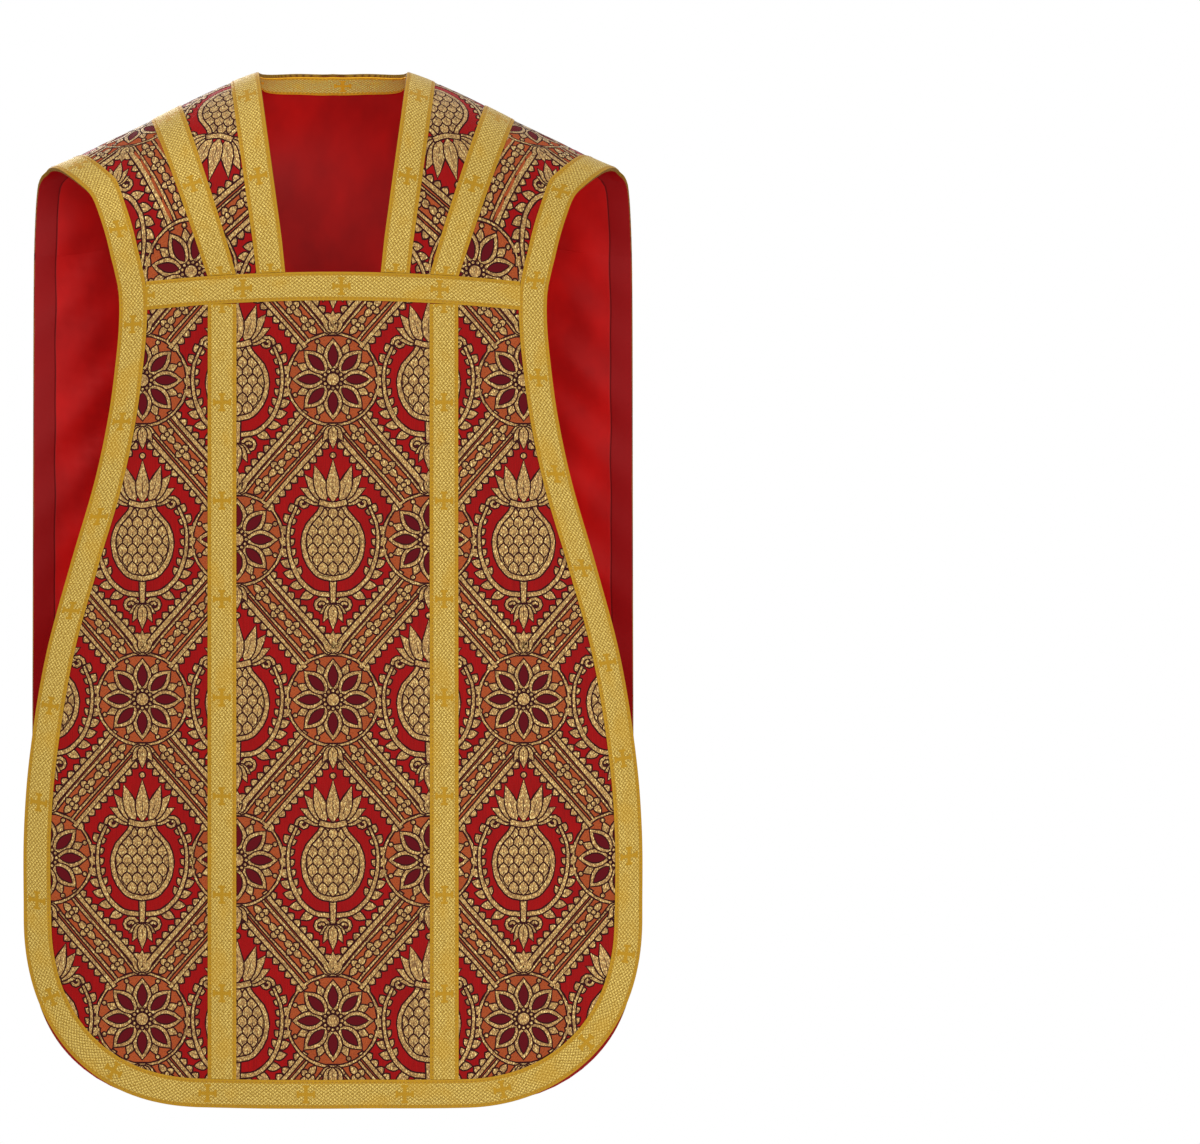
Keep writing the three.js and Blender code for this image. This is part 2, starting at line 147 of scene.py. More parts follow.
soft = {"frontWave": 2.6, "backWave": 3.0, "waveWidth": 190, "waveFrom": -260, "waveGrow": 700}


def clothWave(x, z, onFront):  # slow waves that grow towards the hem
    low = np.clip((soft["waveFrom"] - z) / soft["waveGrow"], 0, 1)
    phase = 2 * np.pi * x / soft["waveWidth"]
    wave = np.sin(phase + 0.9 + z / 310) * 0.6 + np.sin(phase * 0.53 - z / 205 + 2.1) * 0.4
    return np.where(onFront, soft["frontWave"], soft["backWave"]) * low * wave


def layerPoint(x, q, out):
    x, q = np.broadcast_arrays(np.asarray(x, float), np.asarray(q, float))
    point = figurePoint(x, q)
    wave = clothWave(x, point[..., 2], q < 0)
    return point + figureOut(x, q) * (np.asarray(out) + wave)[..., None]


def qAtHeight(x, z, onFront):
    way = -1.0 if onFront else 1.0
    a = np.abs(x)
    sign = np.full(np.shape(a), way)
    fall = fallHeight(a, sign)
    fallen = (shoulderZ(a) - z) / fall
    turned = np.degrees(np.arccos(np.clip(1 - fallen, 0, 1)))
    return way * np.where(fallen < 1, turned, 90 + (fallen - 1) * fall)


def turnLength(x, q):  # the length of cloth from the shoulder line to upright
    a = np.abs(x)
    share = (a / figure["halfWidth"]) ** 2
    r = ofSide(q, "depth") - ofSide(q, "curl") * share
    s = fallHeight(a, q)
    h = ((r - s) / (r + s)) ** 2
    return math.pi / 4 * (r + s) * (1 + 3 * h / (10 + np.sqrt(4 - 3 * h)))


def clothLength(x, q):  # along the cloth from the shoulder line
    turned = np.abs(q)
    return turnLength(x, q) * np.minimum(turned, 90) / 90 + np.maximum(turned - 90, 0)


def uprightZ(x, q):
    return shoulderZ(np.abs(x)) - fallHeight(np.abs(x), q)


def flatCut(x, q):  # the place in the cloth as cut, in metres, for the bake
    return np.stack([x * mm, np.where(q < 0, -1, 1) * clothLength(x, q) * -mm], -1)


strapLook = {"middle": 190.0, "lean": 13.0, "up": 40.0}


def patternPlace(x, q):  # where each place falls in the woven pattern, the rows level on each panel
    x, q = np.broadcast_arrays(np.asarray(x, float), np.asarray(q, float))
    length = clothLength(x, q)
    z = figurePoint(x, q)[..., 2]
    onBack = length - uprightZ(x, q) - turnLength(x, q)
    middle = strapLook["middle"]
    lean = math.radians(strapLook["lean"])
    across = np.abs(x) - middle
    down = length + shoulderZ(middle) - shoulderZ(np.abs(x))
    strapU = np.sign(x) * (middle + across * math.cos(lean) - down * math.sin(lean))
    strapV = strapLook["up"] - down * math.cos(lean) - across * math.sin(lean)
    onStrap = (q < 0) & (z > chestHeight(x) - 0.2)
    u = np.where(onStrap, strapU, x)
    v = np.where(onStrap, strapV, np.where(q < 0, -z, onBack))
    return u, v


def chestHeight(x):
    return cut["chestZ"] - cut["chestDrop"] * np.asarray(x, float) ** 2


def strapShare(turned):  # how far down a strap has come, from the shoulder to the chest
    return np.where(turned > 90, 1.0, cut["fallShare"] * (1 - np.cos(np.radians(np.minimum(turned, 90)))))


def strapOuter(share, turn):  # x of a strap's outer edge
    return strapX(turn)


def strapInner(share, turn=None):  # x of a strap's neck edge
    return cut["neckShoulder"] + (cut["neckChest"] - cut["neckShoulder"]) * share


# The straps end on the chest seam, whose q changes with x.
def strapPlaces(xOfShare, steps=26):
    turns = np.linspace(0, 90, steps)
    x = xOfShare(strapShare(turns), turns)
    below = xOfShare(np.array([1.0]), np.array([cut["strapTurn"][-1]]))
    qEnd = qAtHeight(below, chestHeight(below) + seamHalf, True)
    return joined([x, below]), joined([-turns, qEnd])


def cornerPlaces(side, steps):  # a panel's rounded lower corner, and the line a braid's width inside it
    across, down, squareness = cut[side + "Corner"]
    widest, hem = cut[side + "X"][-1], cut[side + "Hem"]
    power = 2 / squareness

    def at(share):
        turn = np.radians(90 * np.clip(share, 0, 1))
        x = widest - across + across * np.cos(turn).clip(0) ** power
        return x, hem + down - down * np.sin(turn).clip(0) ** power

    share = np.linspace(0, 1, steps)
    x, z = at(share)
    xa, za = at(share - 0.01)
    xb, zb = at(share + 0.01)
    nx, nz = za - zb, xb - xa
    nx[0], nz[0], nx[-1], nz[-1] = 1, 0, 0, -1
    size = np.hypot(nx, nz)
    return x, z, x - braidWidth * nx / size, z - braidWidth * nz / size


def halfWidthAt(z, side, table):  # a panel's half width at a height
    across, down, squareness = cut[side + "Corner"]
    widest, hem = cut[side + "X"][-1], cut[side + "Hem"]
    low = np.clip((hem + down - z) / down, 0, 1)
    rounded = widest - across + across * (1 - low**squareness) ** (1 / squareness)
    return np.where(low > 0, rounded, table(-z))


def backHalf(z):
    return halfWidthAt(z, "back", backX)


def frontHalf(z):
    return halfWidthAt(z, "front", frontX)


def newMesh(name, points, faces):
    mesh = bpy.data.meshes.new(name)
    mesh.from_pydata([tuple(p) for p in points], [], [tuple(int(i) for i in f) for f in faces])
    piece = bpy.data.objects.new(name, mesh)
    bpy.context.collection.objects.link(piece)
    return piece


def readAll(items, name):  # one whole number of each item
    values = np.empty(len(items), np.int32)
    items.foreach_get(name, values)
    return values


def addMap(piece, name, values):  # values are by point
    index = readAll(piece.data.loops, "vertex_index")
    layer = piece.data.uv_layers.new(name=name)
    layer.data.foreach_set("uv", np.asarray(values, np.float32)[index].ravel())


def selectOnly(piece):
    bpy.ops.object.select_all(action="DESELECT")
    piece.select_set(True)
    bpy.context.view_layer.objects.active = piece


def finishShape(piece):
    selectOnly(piece)
    bpy.ops.object.shade_smooth_by_angle(angle=math.radians(60))
    piece.select_set(False)


def gridFaces(rows, columns, flip=False):
    i, j = np.meshgrid(np.arange(rows - 1), np.arange(columns - 1), indexing="ij")
    a = (i * columns + j).ravel()
    quads = np.stack([a, a + 1, a + columns + 1, a + columns], 1)
    return quads[:, ::-1] if flip else quads


def atNeckTurn(x):  # q of the back neck's edge
    return cut["neckTurn"] * np.sqrt(np.clip(1 - (x / cut["neckShoulder"]) ** 2, 0, 1))


# Each panel is a list of grids of x and q, joined where their points meet.
panelCells = {
    "neckCells": 12,
    "sideCells": 22,
    "backRows": 66,
    "frontRows": 58,
    "frontCells": 29,
    "archEnd": -460,
}


def backGrid():
    turns = joined([[0, 6, 12], np.linspace(cut["bandTurn"], 90, 14)])
    cornerTop = cut["backHem"] + cut["backCorner"][1]
    hung = np.linspace(uprightZ(0.0, np.array(1.0)), cornerTop, panelCells["backRows"])
    levels = joined([hung[1:], cornerPlaces("back", 16)[1][1:]])
    f = np.linspace(0, 1, panelCells["neckCells"] + 1)
    g = np.linspace(0, 1, panelCells["sideCells"] + 1)[1:]
    rounded = np.sin(f * np.pi / 2)
    rows = []
    for turn in turns:
        near = max(0.0, 1 - turn / cut["bandTurn"])
        x = cut["backX"][0]
        for _ in range(8):
            x = float(backX(-figurePoint(np.array(x), np.array(float(turn)))[2]))
        inside = (rounded * near + f * (1 - near)) * cut["neckShoulder"]
        xs = joined([inside, cut["neckShoulder"] + g * (x - cut["neckShoulder"])])
        atNeck = atNeckTurn(xs)
        rows.append((xs, atNeck + turn * (1 - atNeck / 90)))
    for k, level in enumerate(levels):
        blend = min(1.0, (k + 1) / 8)
        width = float(backHalf(level))
        inner = min(cut["neckShoulder"], width * 0.5)
        xs = joined([f * inner, inner + g * (width - inner)])
        z = uprightZ(xs, np.ones_like(xs)) * (1 - blend) + level * blend
        z = np.minimum(z, uprightZ(xs, np.ones_like(xs)))
        edge = float(backHalf(z[-1]))
        xs = joined([f * inner, inner + g * (edge - inner)])
        rows.append((xs, qAtHeight(xs, z, False)))
    return [np.array(values) for values in zip(*rows)]


def strapGrid():
    outer = strapPlaces(strapOuter)
    inner = strapPlaces(strapInner)
    g = np.linspace(0, 1, panelCells["sideCells"] + 1)
    x = inner[0][:, None] + (outer[0] - inner[0])[:, None] * g
    q = inner[1][:, None] + (outer[1] - inner[1])[:, None] * g
    q[-1] = qAtHeight(x[-1], chestHeight(x[-1]) + seamHalf, True)
    return x, q


def frontGrid():
    cornerTop = cut["frontHem"] + cut["frontCorner"][1]
    hung = np.linspace(cut["chestZ"], cornerTop, panelCells["frontRows"])
    levels = joined([hung, cornerPlaces("front", 20)[1][1:]])
    f = np.linspace(0, 1, panelCells["frontCells"] + 1)
    xs, qs = [], []
    for level in levels:
        atSeam = level == cut["chestZ"]
        above = np.clip((level - panelCells["archEnd"]) / (cut["chestZ"] - panelCells["archEnd"]), 0, 1)
        arch = float(above) * cut["chestDrop"]
        x = f * (cut["chestEdge"] if atSeam else float(frontHalf(level - arch * cut["chestEdge"] ** 2)))
        xs.append(x)
        qs.append(qAtHeight(x, level - arch * x**2 - (seamHalf if atSeam else 0), True))
    return np.array(xs), np.array(qs)


samePlace = 0.02
insideShift = 0.8  # metres


def clothPiece(name, grids, out, thickness, edgeOf=None, fold=None):
    points, faces, place = [], [], []
    start = 0
    for x, q in grids:
        for side in (1, -1):
            xs, qs = (x * side).ravel(), q.ravel()
            points.append(layerPoint(xs, qs, out + (fold(xs, qs) if fold else np.zeros(xs.shape))))
            place.append(np.stack([xs, qs], -1))
            faces.append(gridFaces(*x.shape, flip=(qs[-1] > 0) != (side > 0)) + start)
            start += xs.size
    points, place, faces = joined(points), joined(place), joined(faces)
    key = np.round(place / samePlace).astype(np.int64)  # halves and grids meet where x and q are the same
    _, first, back = np.unique(key, axis=0, return_index=True, return_inverse=True)
    points, place, faces = points[first], place[first], back.reshape(-1)[faces]
    clean = []
    for f in faces:
        kept = [int(v) for i, v in enumerate(f) if v != f[i - 1]]
        if len(kept) > 2:
            clean.append(kept)
    piece = newMesh(name, points * mm, clean)
    addMap(piece, "OFBake", flatCut(place[:, 0], place[:, 1]))
    u, v = patternPlace(place[:, 0], place[:, 1])
    addMap(piece, "pattern", np.stack([u, v], -1))
    if edgeOf:
        edge = piece.data.attributes.new("fromEdge", "FLOAT", "POINT")
        edge.data.foreach_set("value", edgeOf(place[:, 0], place[:, 1]).astype(np.float32))
    for _ in range(3):  # outside, inside and rim
        piece.data.materials.append(None)
    wall = piece.modifiers.new("wall", "SOLIDIFY")
    wall.thickness, wall.offset = thickness * mm, 0
    wall.material_offset = 1
    wall.material_offset_rim = 2
    bpy.context.view_layer.objects.active = piece
    bpy.ops.object.modifier_apply(modifier="wall")
    separateInside(piece)
    finishShape(piece)
    return piece


def separateInside(piece):  # the inner side's place in the bake map is beside the outer side's
    faces, uv = piece.data.polygons, piece.data.uv_layers["OFBake"].data
    side, total = readAll(faces, "material_index"), readAll(faces, "loop_total")
    values = np.empty(len(uv) * 2, np.float32)
    uv.foreach_get("uv", values)
    values[::2] += np.float32(insideShift) * np.repeat(side == 1, total)
    uv.foreach_set("uv", values)


# The braid is strips between two lines of places.
braid = {"columns": 10, "step": 7.0, "edgeHeight": 0.55, "stitchIn": 2.6, "stitchDent": 0.22}
braidStrips, braidPieces = [], []


def lengthsAlong(points):
    return joined([[0], np.cumsum(np.linalg.norm(np.diff(points, axis=0), axis=1))])


def resample(line, step):  # inner and outer places at even steps along the strip
    xi, qi, xo, qo = line
    along = lengthsAlong((figurePoint(xi, qi) + figurePoint(xo, qo)) / 2)
    keep = joined([[True], np.diff(along) > 1e-4])
    along, xi, qi, xo, qo = along[keep], xi[keep], qi[keep], xo[keep], qo[keep]
    count = max(3, int(round(along[-1] / step)) + 1)
    at = np.linspace(0, along[-1], count)
    return [np.interp(at, along, values) for values in (xi, qi, xo, qo)] + [at]


def braidPiece(name, node, line, raised=None, base=overWall, way=1):  # way is 1 outwards and -1 inwards
    xi, qi, xo, qo, at = resample(line, braid["step"])
    t = np.linspace(0, 1, braid["columns"] + 1)
    t = 0.5 - 0.5 * np.cos(np.pi * t) * (0.75 + 0.25 * np.abs(np.cos(np.pi * t)))  # finer at the selvedges
    x = xi[:, None] + (xo - xi)[:, None] * t
    q = qi[:, None] + (qo - qi)[:, None] * t
    lift = np.zeros_like(x) if raised is None else raised(x, q)
    across = t * braidWidth
    inStitch = np.minimum(np.abs(across - braid["stitchIn"]), np.abs(across - braidWidth + braid["stitchIn"]))
    crown = 1 - np.clip(np.abs(2 * t - 1), 0, 1) ** 10
    thick = layers["braid"] * (braid["edgeHeight"] + (1 - braid["edgeHeight"]) * crown)
    thick = thick - braid["stitchDent"] * np.exp(-((inStitch / 1.1) ** 2))
    low = layerPoint(x, q, base + lift)
    high = layerPoint(x, q, base + lift + way * thick)
    rows, n = x.shape
    size = rows * n
    over = gridFaces(rows, n)
    i, j = np.arange(rows - 1) * n, np.arange(n - 1)
    k = (rows - 1) * n + j
    sides = [(i, i + n), (i + 2 * n - 1, i + n - 1), (j + 1, j), (k, k + 1)]
    walls = [np.stack([a, b, b + size, a + size], 1) for a, b in sides]
    points = joined([high.reshape(-1, 3), low.reshape(-1, 3)])
    piece = newMesh(name, points * mm, joined([over, over[:, ::-1] + size] + walls))
    along = np.repeat(at[:, None], n, 1).ravel()
    acrossAll = np.tile(across, rows)
    addMap(piece, "OFBake", joined([flatCut(x.ravel(), q.ravel())] * 2))
    addMap(piece, "weave", joined([np.stack([acrossAll, along], -1)] * 2))
    weldAndTurn(piece)
    finishShape(piece)
    braidStrips.append((x, q, across, base + lift + way * thick, way))
    braidPieces.append((piece, node, float(at[-1])))


def weldAndTurn(piece):  # points of the seams become one, and all faces look outwards
    selectOnly(piece)
    bpy.ops.object.mode_set(mode="EDIT")
    bpy.ops.mesh.select_all(action="SELECT")
    bpy.ops.mesh.remove_doubles(threshold=2e-5)
    bpy.ops.mesh.normals_make_consistent(inside=False)
    bpy.ops.object.mode_set(mode="OBJECT")


def mirroredLine(line, way):
    xi, qi, xo, qo = line
    return xi * way, qi, xo * way, qo


def throughMiddle(line):  # a line from the left end to the middle, and its mirror image back to the right end
    return [joined([values, values[-2::-1] * way]) for values, way in zip(line, (-1, 1, -1, 1))]


def insideRow(x, q):  # the line a braid's width in from an edge, square to the edge, on the same rows
    edge = figurePoint(x, q)
    along = np.gradient(edge, axis=0)
    inward = figurePoint(x - 1, q) - edge
    turn = np.linalg.norm(np.cross(along, inward), axis=1)
    turn /= np.linalg.norm(along, axis=1) * np.linalg.norm(inward, axis=1)
    return x - braidWidth / turn / np.linalg.norm(inward, axis=1)


def edgeLine(side, ring, sideX, sideQ):  # a panel's side edge, carried on round its corner to mid hem
    onFront = side == "front"
    cx, cz, rx, rz = cornerPlaces(side, 50)
    hx = np.linspace(cx[-1], 0, 12)[1:]
    hem = np.full(hx.shape, float(cut[side + "Hem"]))
    outerQ = [sideQ, qAtHeight(cx, cz, onFront), qAtHeight(hx, hem, onFront)]
    innerQ = [sideQ, qAtHeight(rx, rz, onFront), qAtHeight(hx, hem + braidWidth, onFront)]
    return joined([ring, rx, hx]), joined(innerQ), joined([sideX, cx, hx]), joined(outerQ)


def frontEdgeLine():
    sx, sq = strapPlaces(strapOuter, 40)
    z = np.linspace(cut["chestZ"] - 14, cut["frontHem"] + cut["frontCorner"][1], 90)
    fx = frontX(-z)
    fq = qAtHeight(fx, z, True)
    ring = joined([insideRow(sx, sq)[:-1], insideRow(fx, fq)[:-1]])
    return edgeLine("front", ring, joined([sx[:-1], fx[:-1]]), joined([sq[:-1], fq[:-1]]))


def backEdgeLine():
    turns = joined([np.linspace(0, 30, 16), np.linspace(34, 90, 16)])
    x = np.full(turns.shape, float(cut["backX"][0]))
    for _ in range(10):
        x = backX(-figurePoint(x, turns)[:, 2])
    z = np.linspace(figurePoint(x[-1:], turns[-1:])[0, 2] - 8, cut["backHem"] + cut["backCorner"][1], 90)
    bx = backX(-z)
    sideX, sideQ = joined([x, bx[:-1]]), joined([turns, qAtHeight(bx, z, False)[:-1]])
    ring = insideRow(sideX, sideQ)
    ring[0] = frontEdgeLine()[0][0]
    ring[:4] = ring[0] + (ring[4] - ring[0]) * np.arange(4) / 4
    return edgeLine("back", ring, sideX, sideQ)


band = {
    "backInner": 95.5,
    "backShift": 15.5,  # how far the back bands move out from the neck's corner on their way down
    "frontInner": 101.0,
    "facingReach": -0.05,  # the facing's end past the back bands' inner edge, in braid widths
    "climb": 7.0,  # how far from the back bands the chevron starts to rise over them
}
chevron = {"inner": 164.0, "outer": 196.0, "chest": 101.5, "pointTop": -257.0, "pointBottom": -308.0}


def backBandInner(turned):
    return cut["neckShoulder"] + band["backShift"] * np.sin(np.radians(np.minimum(turned, 90)))


def neckSideLine():
    xi, qi = strapPlaces(strapInner, 30)
    xo, qo = strapPlaces(lambda share, turn: strapInner(share) + braidWidth, 30)
    xi, qi, xo, qo = xi[::-1], qi[::-1], xo[::-1], qo[::-1]
    past = np.linspace(0, 1, 6)[1:]
    corner = np.full(past.shape, float(cut["neckShoulder"]))
    farX = corner + braidWidth + (backBandInner(cut["bandTurn"]) - cut["neckShoulder"] - layers["gap"]) * past
    farQ = (cut["bandTurn"] - layers["gap"]) * past
    return joined([xi, corner]), joined([qi, corner * 0]), joined([xo, farX]), joined([qo, farQ])


def neckBackLine(reach):
    f = np.sin(np.linspace(-np.pi / 2, np.pi / 2, 49))
    xi = f * cut["neckShoulder"]
    xo = f * (backBandInner(cut["bandTurn"]) + braidWidth * reach)
    outNeck = atNeckTurn(xo)
    return xi, atNeckTurn(xi) + 1e-6, xo * 0.998, outNeck + cut["bandTurn"] * (1 - outNeck / 90)


def chevronLine():
    def edge(atShoulder, atChest):
        xs, qs = strapPlaces(lambda share, turn: atShoulder + (atChest - atShoulder) * share, 30)
        return xs[::-1], qs[::-1]

    xi, qi = edge(chevron["inner"], chevron["chest"])
    xo, qo = edge(chevron["outer"], chevron["chest"] + braidWidth)
    f = np.linspace(0, 1, 60)[1:] ** 1.6

    def down(start, end):
        x = np.maximum(start * (1 - f), 0.15)
        z = shoulderZ(start) + (end - shoulderZ(start)) * f
        return x, qAtHeight(x, np.minimum(z, shoulderZ(x) - 1e-3), False)

    bi, bo = down(chevron["inner"], chevron["pointTop"]), down(chevron["outer"], chevron["pointBottom"])
    return [joined(pair) for pair in zip((xi, qi, xo, qo), bi + bo)]


def overBackBand(x, q):  # the chevron climbs over the upright band
    inner = backBandInner(np.clip(q, 0, 90))
    a = np.abs(x)
    near = np.maximum(np.maximum(inner - a, a - inner - braidWidth), 0)
    climb = np.clip(1 - near / band["climb"], 0, 1)
    return np.where(q > 0, (layers["braid"] + layers["gap"]) * climb * climb * (3 - 2 * climb), 0)


def backBandLine():
    turns = np.linspace(cut["bandTurn"] + 0.2, 90, 20)
    top, bottom = uprightZ(band["backInner"], np.array(1.0)) - 5, cut["backHem"] + braidWidth + layers["gap"]
    z = np.linspace(top, bottom, 60)
    upright = np.full(z.shape, band["backInner"])
    x = joined([backBandInner(turns), upright])
    inner, outer = (joined([turns, qAtHeight(upright + step, z, False)]) for step in (0, braidWidth))
    return x, inner, x + braidWidth, outer


def frontBandLine():
    top = chestHeight(band["frontInner"] + braidWidth / 2) - braidWidth - layers["gap"]
    z = np.linspace(top, cut["frontHem"] + braidWidth + layers["gap"], 80)
    x = np.full(z.shape, band["frontInner"])
    return x, qAtHeight(x, z, True), x + braidWidth, qAtHeight(x + braidWidth, z, True)


def chestBandLine():
    x, q = frontEdgeLine()[:2]
    reach = float(np.interp(12 - cut["chestZ"], -figurePoint(x, q)[:60, 2], x[:60])) - layers["gap"]
    xs = np.linspace(-reach, reach, 61)
    top = qAtHeight(xs, chestHeight(xs) - seamHalf, True)
    return xs, top, xs, qAtHeight(xs, chestHeight(xs) - braidWidth, True)


backPlaces, strapPlacesGrid, frontPlaces = backGrid(), strapGrid(), frontGrid()
farFromEdge = 90.0
plainAtNeck = {"length": 60, "halfWidth": 120}  # no painted edge shade or seam shadow here


def nearestEdge(x, q):  # how far a place on the back or a strap is from the cloth's own edge
    z = figurePoint(x, q)[:, 2]
    a = np.abs(x)
    onBack = np.minimum(backHalf(np.minimum(z, -cut["backDown"][0])) - a, z - cut["backHem"])
    atNeck = (clothLength(x, q) < plainAtNeck["length"]) & (a < plainAtNeck["halfWidth"])
    onBack = np.where(atNeck, farFromEdge, onBack)
    return np.where(q < 0, np.minimum(strapX(np.abs(q)) - a, farFromEdge), onBack)


liningFold = {"depth": 6.3, "middleX": 262, "spread": 48, "top": -120, "bottom": -760}


def liningFolds(x, q):  # shallow slanting folds, deepest beside the armholes
    z = figurePoint(x, q)[..., 2]
    a = np.abs(x)
    beside = np.exp(-(((a - liningFold["middleX"]) / liningFold["spread"]) ** 2))
    beside *= np.clip((liningFold["top"] - z) / 60, 0, 1) * np.clip((z - liningFold["bottom"]) / 200, 0, 1)
    side = np.sign(x)
    slant = np.sin((z + 0.9 * a) / 11 + side * 1.3) + 0.8 * np.sin((z + 0.3 * a) / 17 + 2.0 * side)
    return np.where(q > 0, -liningFold["depth"] * beside * (1 + 0.6 * slant), 0)


backPiece = clothPiece("backBrocade", [backPlaces, strapPlacesGrid], 0, layers["wall"])
frontPiece = clothPiece("frontBrocade", [frontPlaces], 0, layers["wall"])
liningMiddle = -(overWall + layers["lining"] / 2)
liningPiece = clothPiece(
    "backLining", [backPlaces, strapPlacesGrid], liningMiddle, layers["lining"], nearestEdge, liningFolds
)
print("panels made")

insideBase = -(overWall + layers["lining"] + layers["gap"])
for label, way in (("Left", 1), ("Right", -1)):
    for name, node, line, raised in (
        ("neckBraid", "neck_band", neckSideLine(), None),
        ("shoulderBraid", "shoulder_band", chevronLine(), overBackBand),
        ("backBraid", "back_band", backBandLine(), None),
        ("frontBraid", "front_band", frontBandLine(), None),
    ):
        braidPiece(name + label, node + "_" + label.lower(), mirroredLine(line, way), raised)
braidPiece("neckBraidBack", "neck_band_back", neckBackLine(1.0))
braidPiece("neckFacing", "neck_facing_back", neckBackLine(band["facingReach"]), base=insideBase, way=-1)
braidPiece("chestBraid", "chest_band", chestBandLine())
braidPiece("edgeBraidFront", "edging_front", throughMiddle(frontEdgeLine()))
braidPiece("edgeBraidBack", "edging_back", throughMiddle(backEdgeLine()))
print("braid made")

stitch = {
    "length": 3.0,
    "every": 4.4,
    "width": 0.55,
    "stops": [0, 0.28, 0.72, 1],
    "sizes": [0.35, 1, 1, 0.35],
    "rises": [-0.15, 0.18, 0.18, -0.15],
    "ring": [[0, 1], [-1, 0.15], [0, -0.6], [1, 0.15]],
}


def stitchRows():  # running stitches beside both selvedges of every strip
    ring = np.array(stitch["ring"])
    size = np.array(stitch["sizes"]) * stitch["width"] / 2
    rows = [[k * 4 + m, k * 4 + (m + 1) % 4] for k in range(3) for m in range(4)]
    one = np.array([[a, b, b + 4, a + 4] for a, b in rows] + [[3, 2, 1, 0], [12, 13, 14, 15]])
    allPoints, allFaces, start = [], [], 0
    for x, q, across, out, way in braidStrips:
        for offset in (braid["stitchIn"], braidWidth - braid["stitchIn"]):
            column = np.interp(offset, across, np.arange(len(across)))
            low, share = int(column), column - int(column)
            row = [grid[:, low] * (1 - share) + grid[:, low + 1] * share for grid in (x, q, out)]
            lengths = lengthsAlong(figurePoint(*row[:2]))
            begin = np.arange(3.0, lengths[-1] - 5.0, stitch["every"])
            stops = begin[:, None] + np.array(stitch["stops"]) * stitch["length"]
            sx, sq, sh = (np.interp(stops, lengths, values) for values in row)
            middle = layerPoint(sx, sq, sh)
            up = figureOut(sx, sq) * way
            along = np.gradient(middle, axis=1)
            along /= np.linalg.norm(along, axis=-1, keepdims=True)
            sideways = np.cross(along, up)
            centre = middle + up * np.array(stitch["rises"])[None, :, None]
            rings = (
                centre[:, :, None]
                + sideways[:, :, None] * (ring[:, 0] * size[:, None])[None, :, :, None]
                + up[:, :, None] * (ring[:, 1] * size[:, None])[None, :, :, None]
            )
            allPoints.append(rings.reshape(-1, 3))
            firsts = start + np.arange(len(begin)) * 16  # 4 rings of 4 points
            allFaces.append((firsts[:, None, None] + one[None]).reshape(-1, 4))
            start += len(begin) * 16
    piece = newMesh("stitching", joined(allPoints) * mm, joined(allFaces))
    weldAndTurn(piece)
    finishShape(piece)
    return piece


stitching = stitchRows()
print("stitching made", len(stitching.data.polygons))

# The woven figure is an ogee net with a pomegranate in each cell.
pattern = {
    "across": 200.0,
    "down": 335.0,
    "middleV": 503.0,  # one pomegranate is centred this far below the origin, on the middle of the front
    "bandHalf": 16.5,
    "nodeRadius": 48.0,
    "outline": 1.6,
    "cell": 15.0,
    "weld": 0.4,
    "goldOut": 0.26,
    "lineOut": 0.07,
}
figureShapes = []  # (kind, polygon) in painting order, with kind gold, line or heart


def addShape(kind, polygon):
    p = np.array(polygon, float)
    if len(p) == 4:  # a quad that a tight curve has crossed over is put in order round its middle
        c = p - p.mean(0)
        p = p[np.argsort(np.arctan2(c[:, 1], c[:, 0]))]
    x, y = p[:, 0], p[:, 1]
    area = (x * np.roll(y, -1) - np.roll(x, -1) * y).sum() / 2
    if abs(area) > 0.05:
        figureShapes.append((kind, p if area > 0 else p[::-1]))


def addBoth(kind, polygon):
    addShape(kind, polygon)
    addShape(kind, [(-x, y) for x, y in polygon])


def heading(angle):  # a step of one millimetre at an angle, where 0 is up the cloth
    return math.sin(math.radians(angle)), math.cos(math.radians(angle))


def beside(place, angle, reach):  # the place that lies a reach away at an angle
    ux, uy = heading(angle)
    return place[0] + reach * ux, place[1] + reach * uy


def petal(base, angle, length, width, extra, fullness, steps):
    ux, uy = heading(angle)
    size, half = length + 2.1 * extra, width / 2 + extra
    left, right = [], []
    for i in range(1, steps):
        t = i / steps
        r = half * math.sin(math.pi * t**fullness) ** 0.85
        d = t * size - extra * 0.9
        left.append((base[0] + ux * d - uy * r, base[1] + uy * d + ux * r))
        right.append((base[0] + ux * d + uy * r, base[1] + uy * d - ux * r))
    foot = (base[0] - ux * extra * 0.9, base[1] - uy * extra * 0.9)
    tip = (base[0] + ux * (size - extra * 0.9), base[1] + uy * (size - extra * 0.9))
    return [foot] + right + [tip] + left[::-1]


def goldPetal(base, angle, length, width, both=True, fullness=0.8, steps=6, vein=0.0, heart=0.0):
    add = addBoth if both else addShape
    e = pattern["outline"]
    add("line", petal(base, angle, length, width, e, fullness, steps))
    add("gold", petal(base, angle, length, width, 0, fullness, steps))
    if heart:
        add("line", petal(base, angle, length, width, -heart, fullness, steps))
        add("heart", petal(base, angle, length, width, -heart - e, fullness, steps))
    if vein:
        (ux, uy), near = heading(angle), 0.22 * length
        sides = [(base[0] + ux * near - uy * half, base[1] + uy * near + ux * half) for half in (0.5, -0.5)]
        add("line", sides + [beside(base, angle, vein * length)])


def goldDot(centre, radius, both=True, sides=9):
    turns = [2 * math.pi / sides * i for i in range(sides)]
    for kind, r in (("line", radius + pattern["outline"]), ("gold", radius)):
        polygon = [(centre[0] + r * math.cos(turn), centre[1] + r * math.sin(turn)) for turn in turns]
        (addBoth if both else addShape)(kind, polygon)


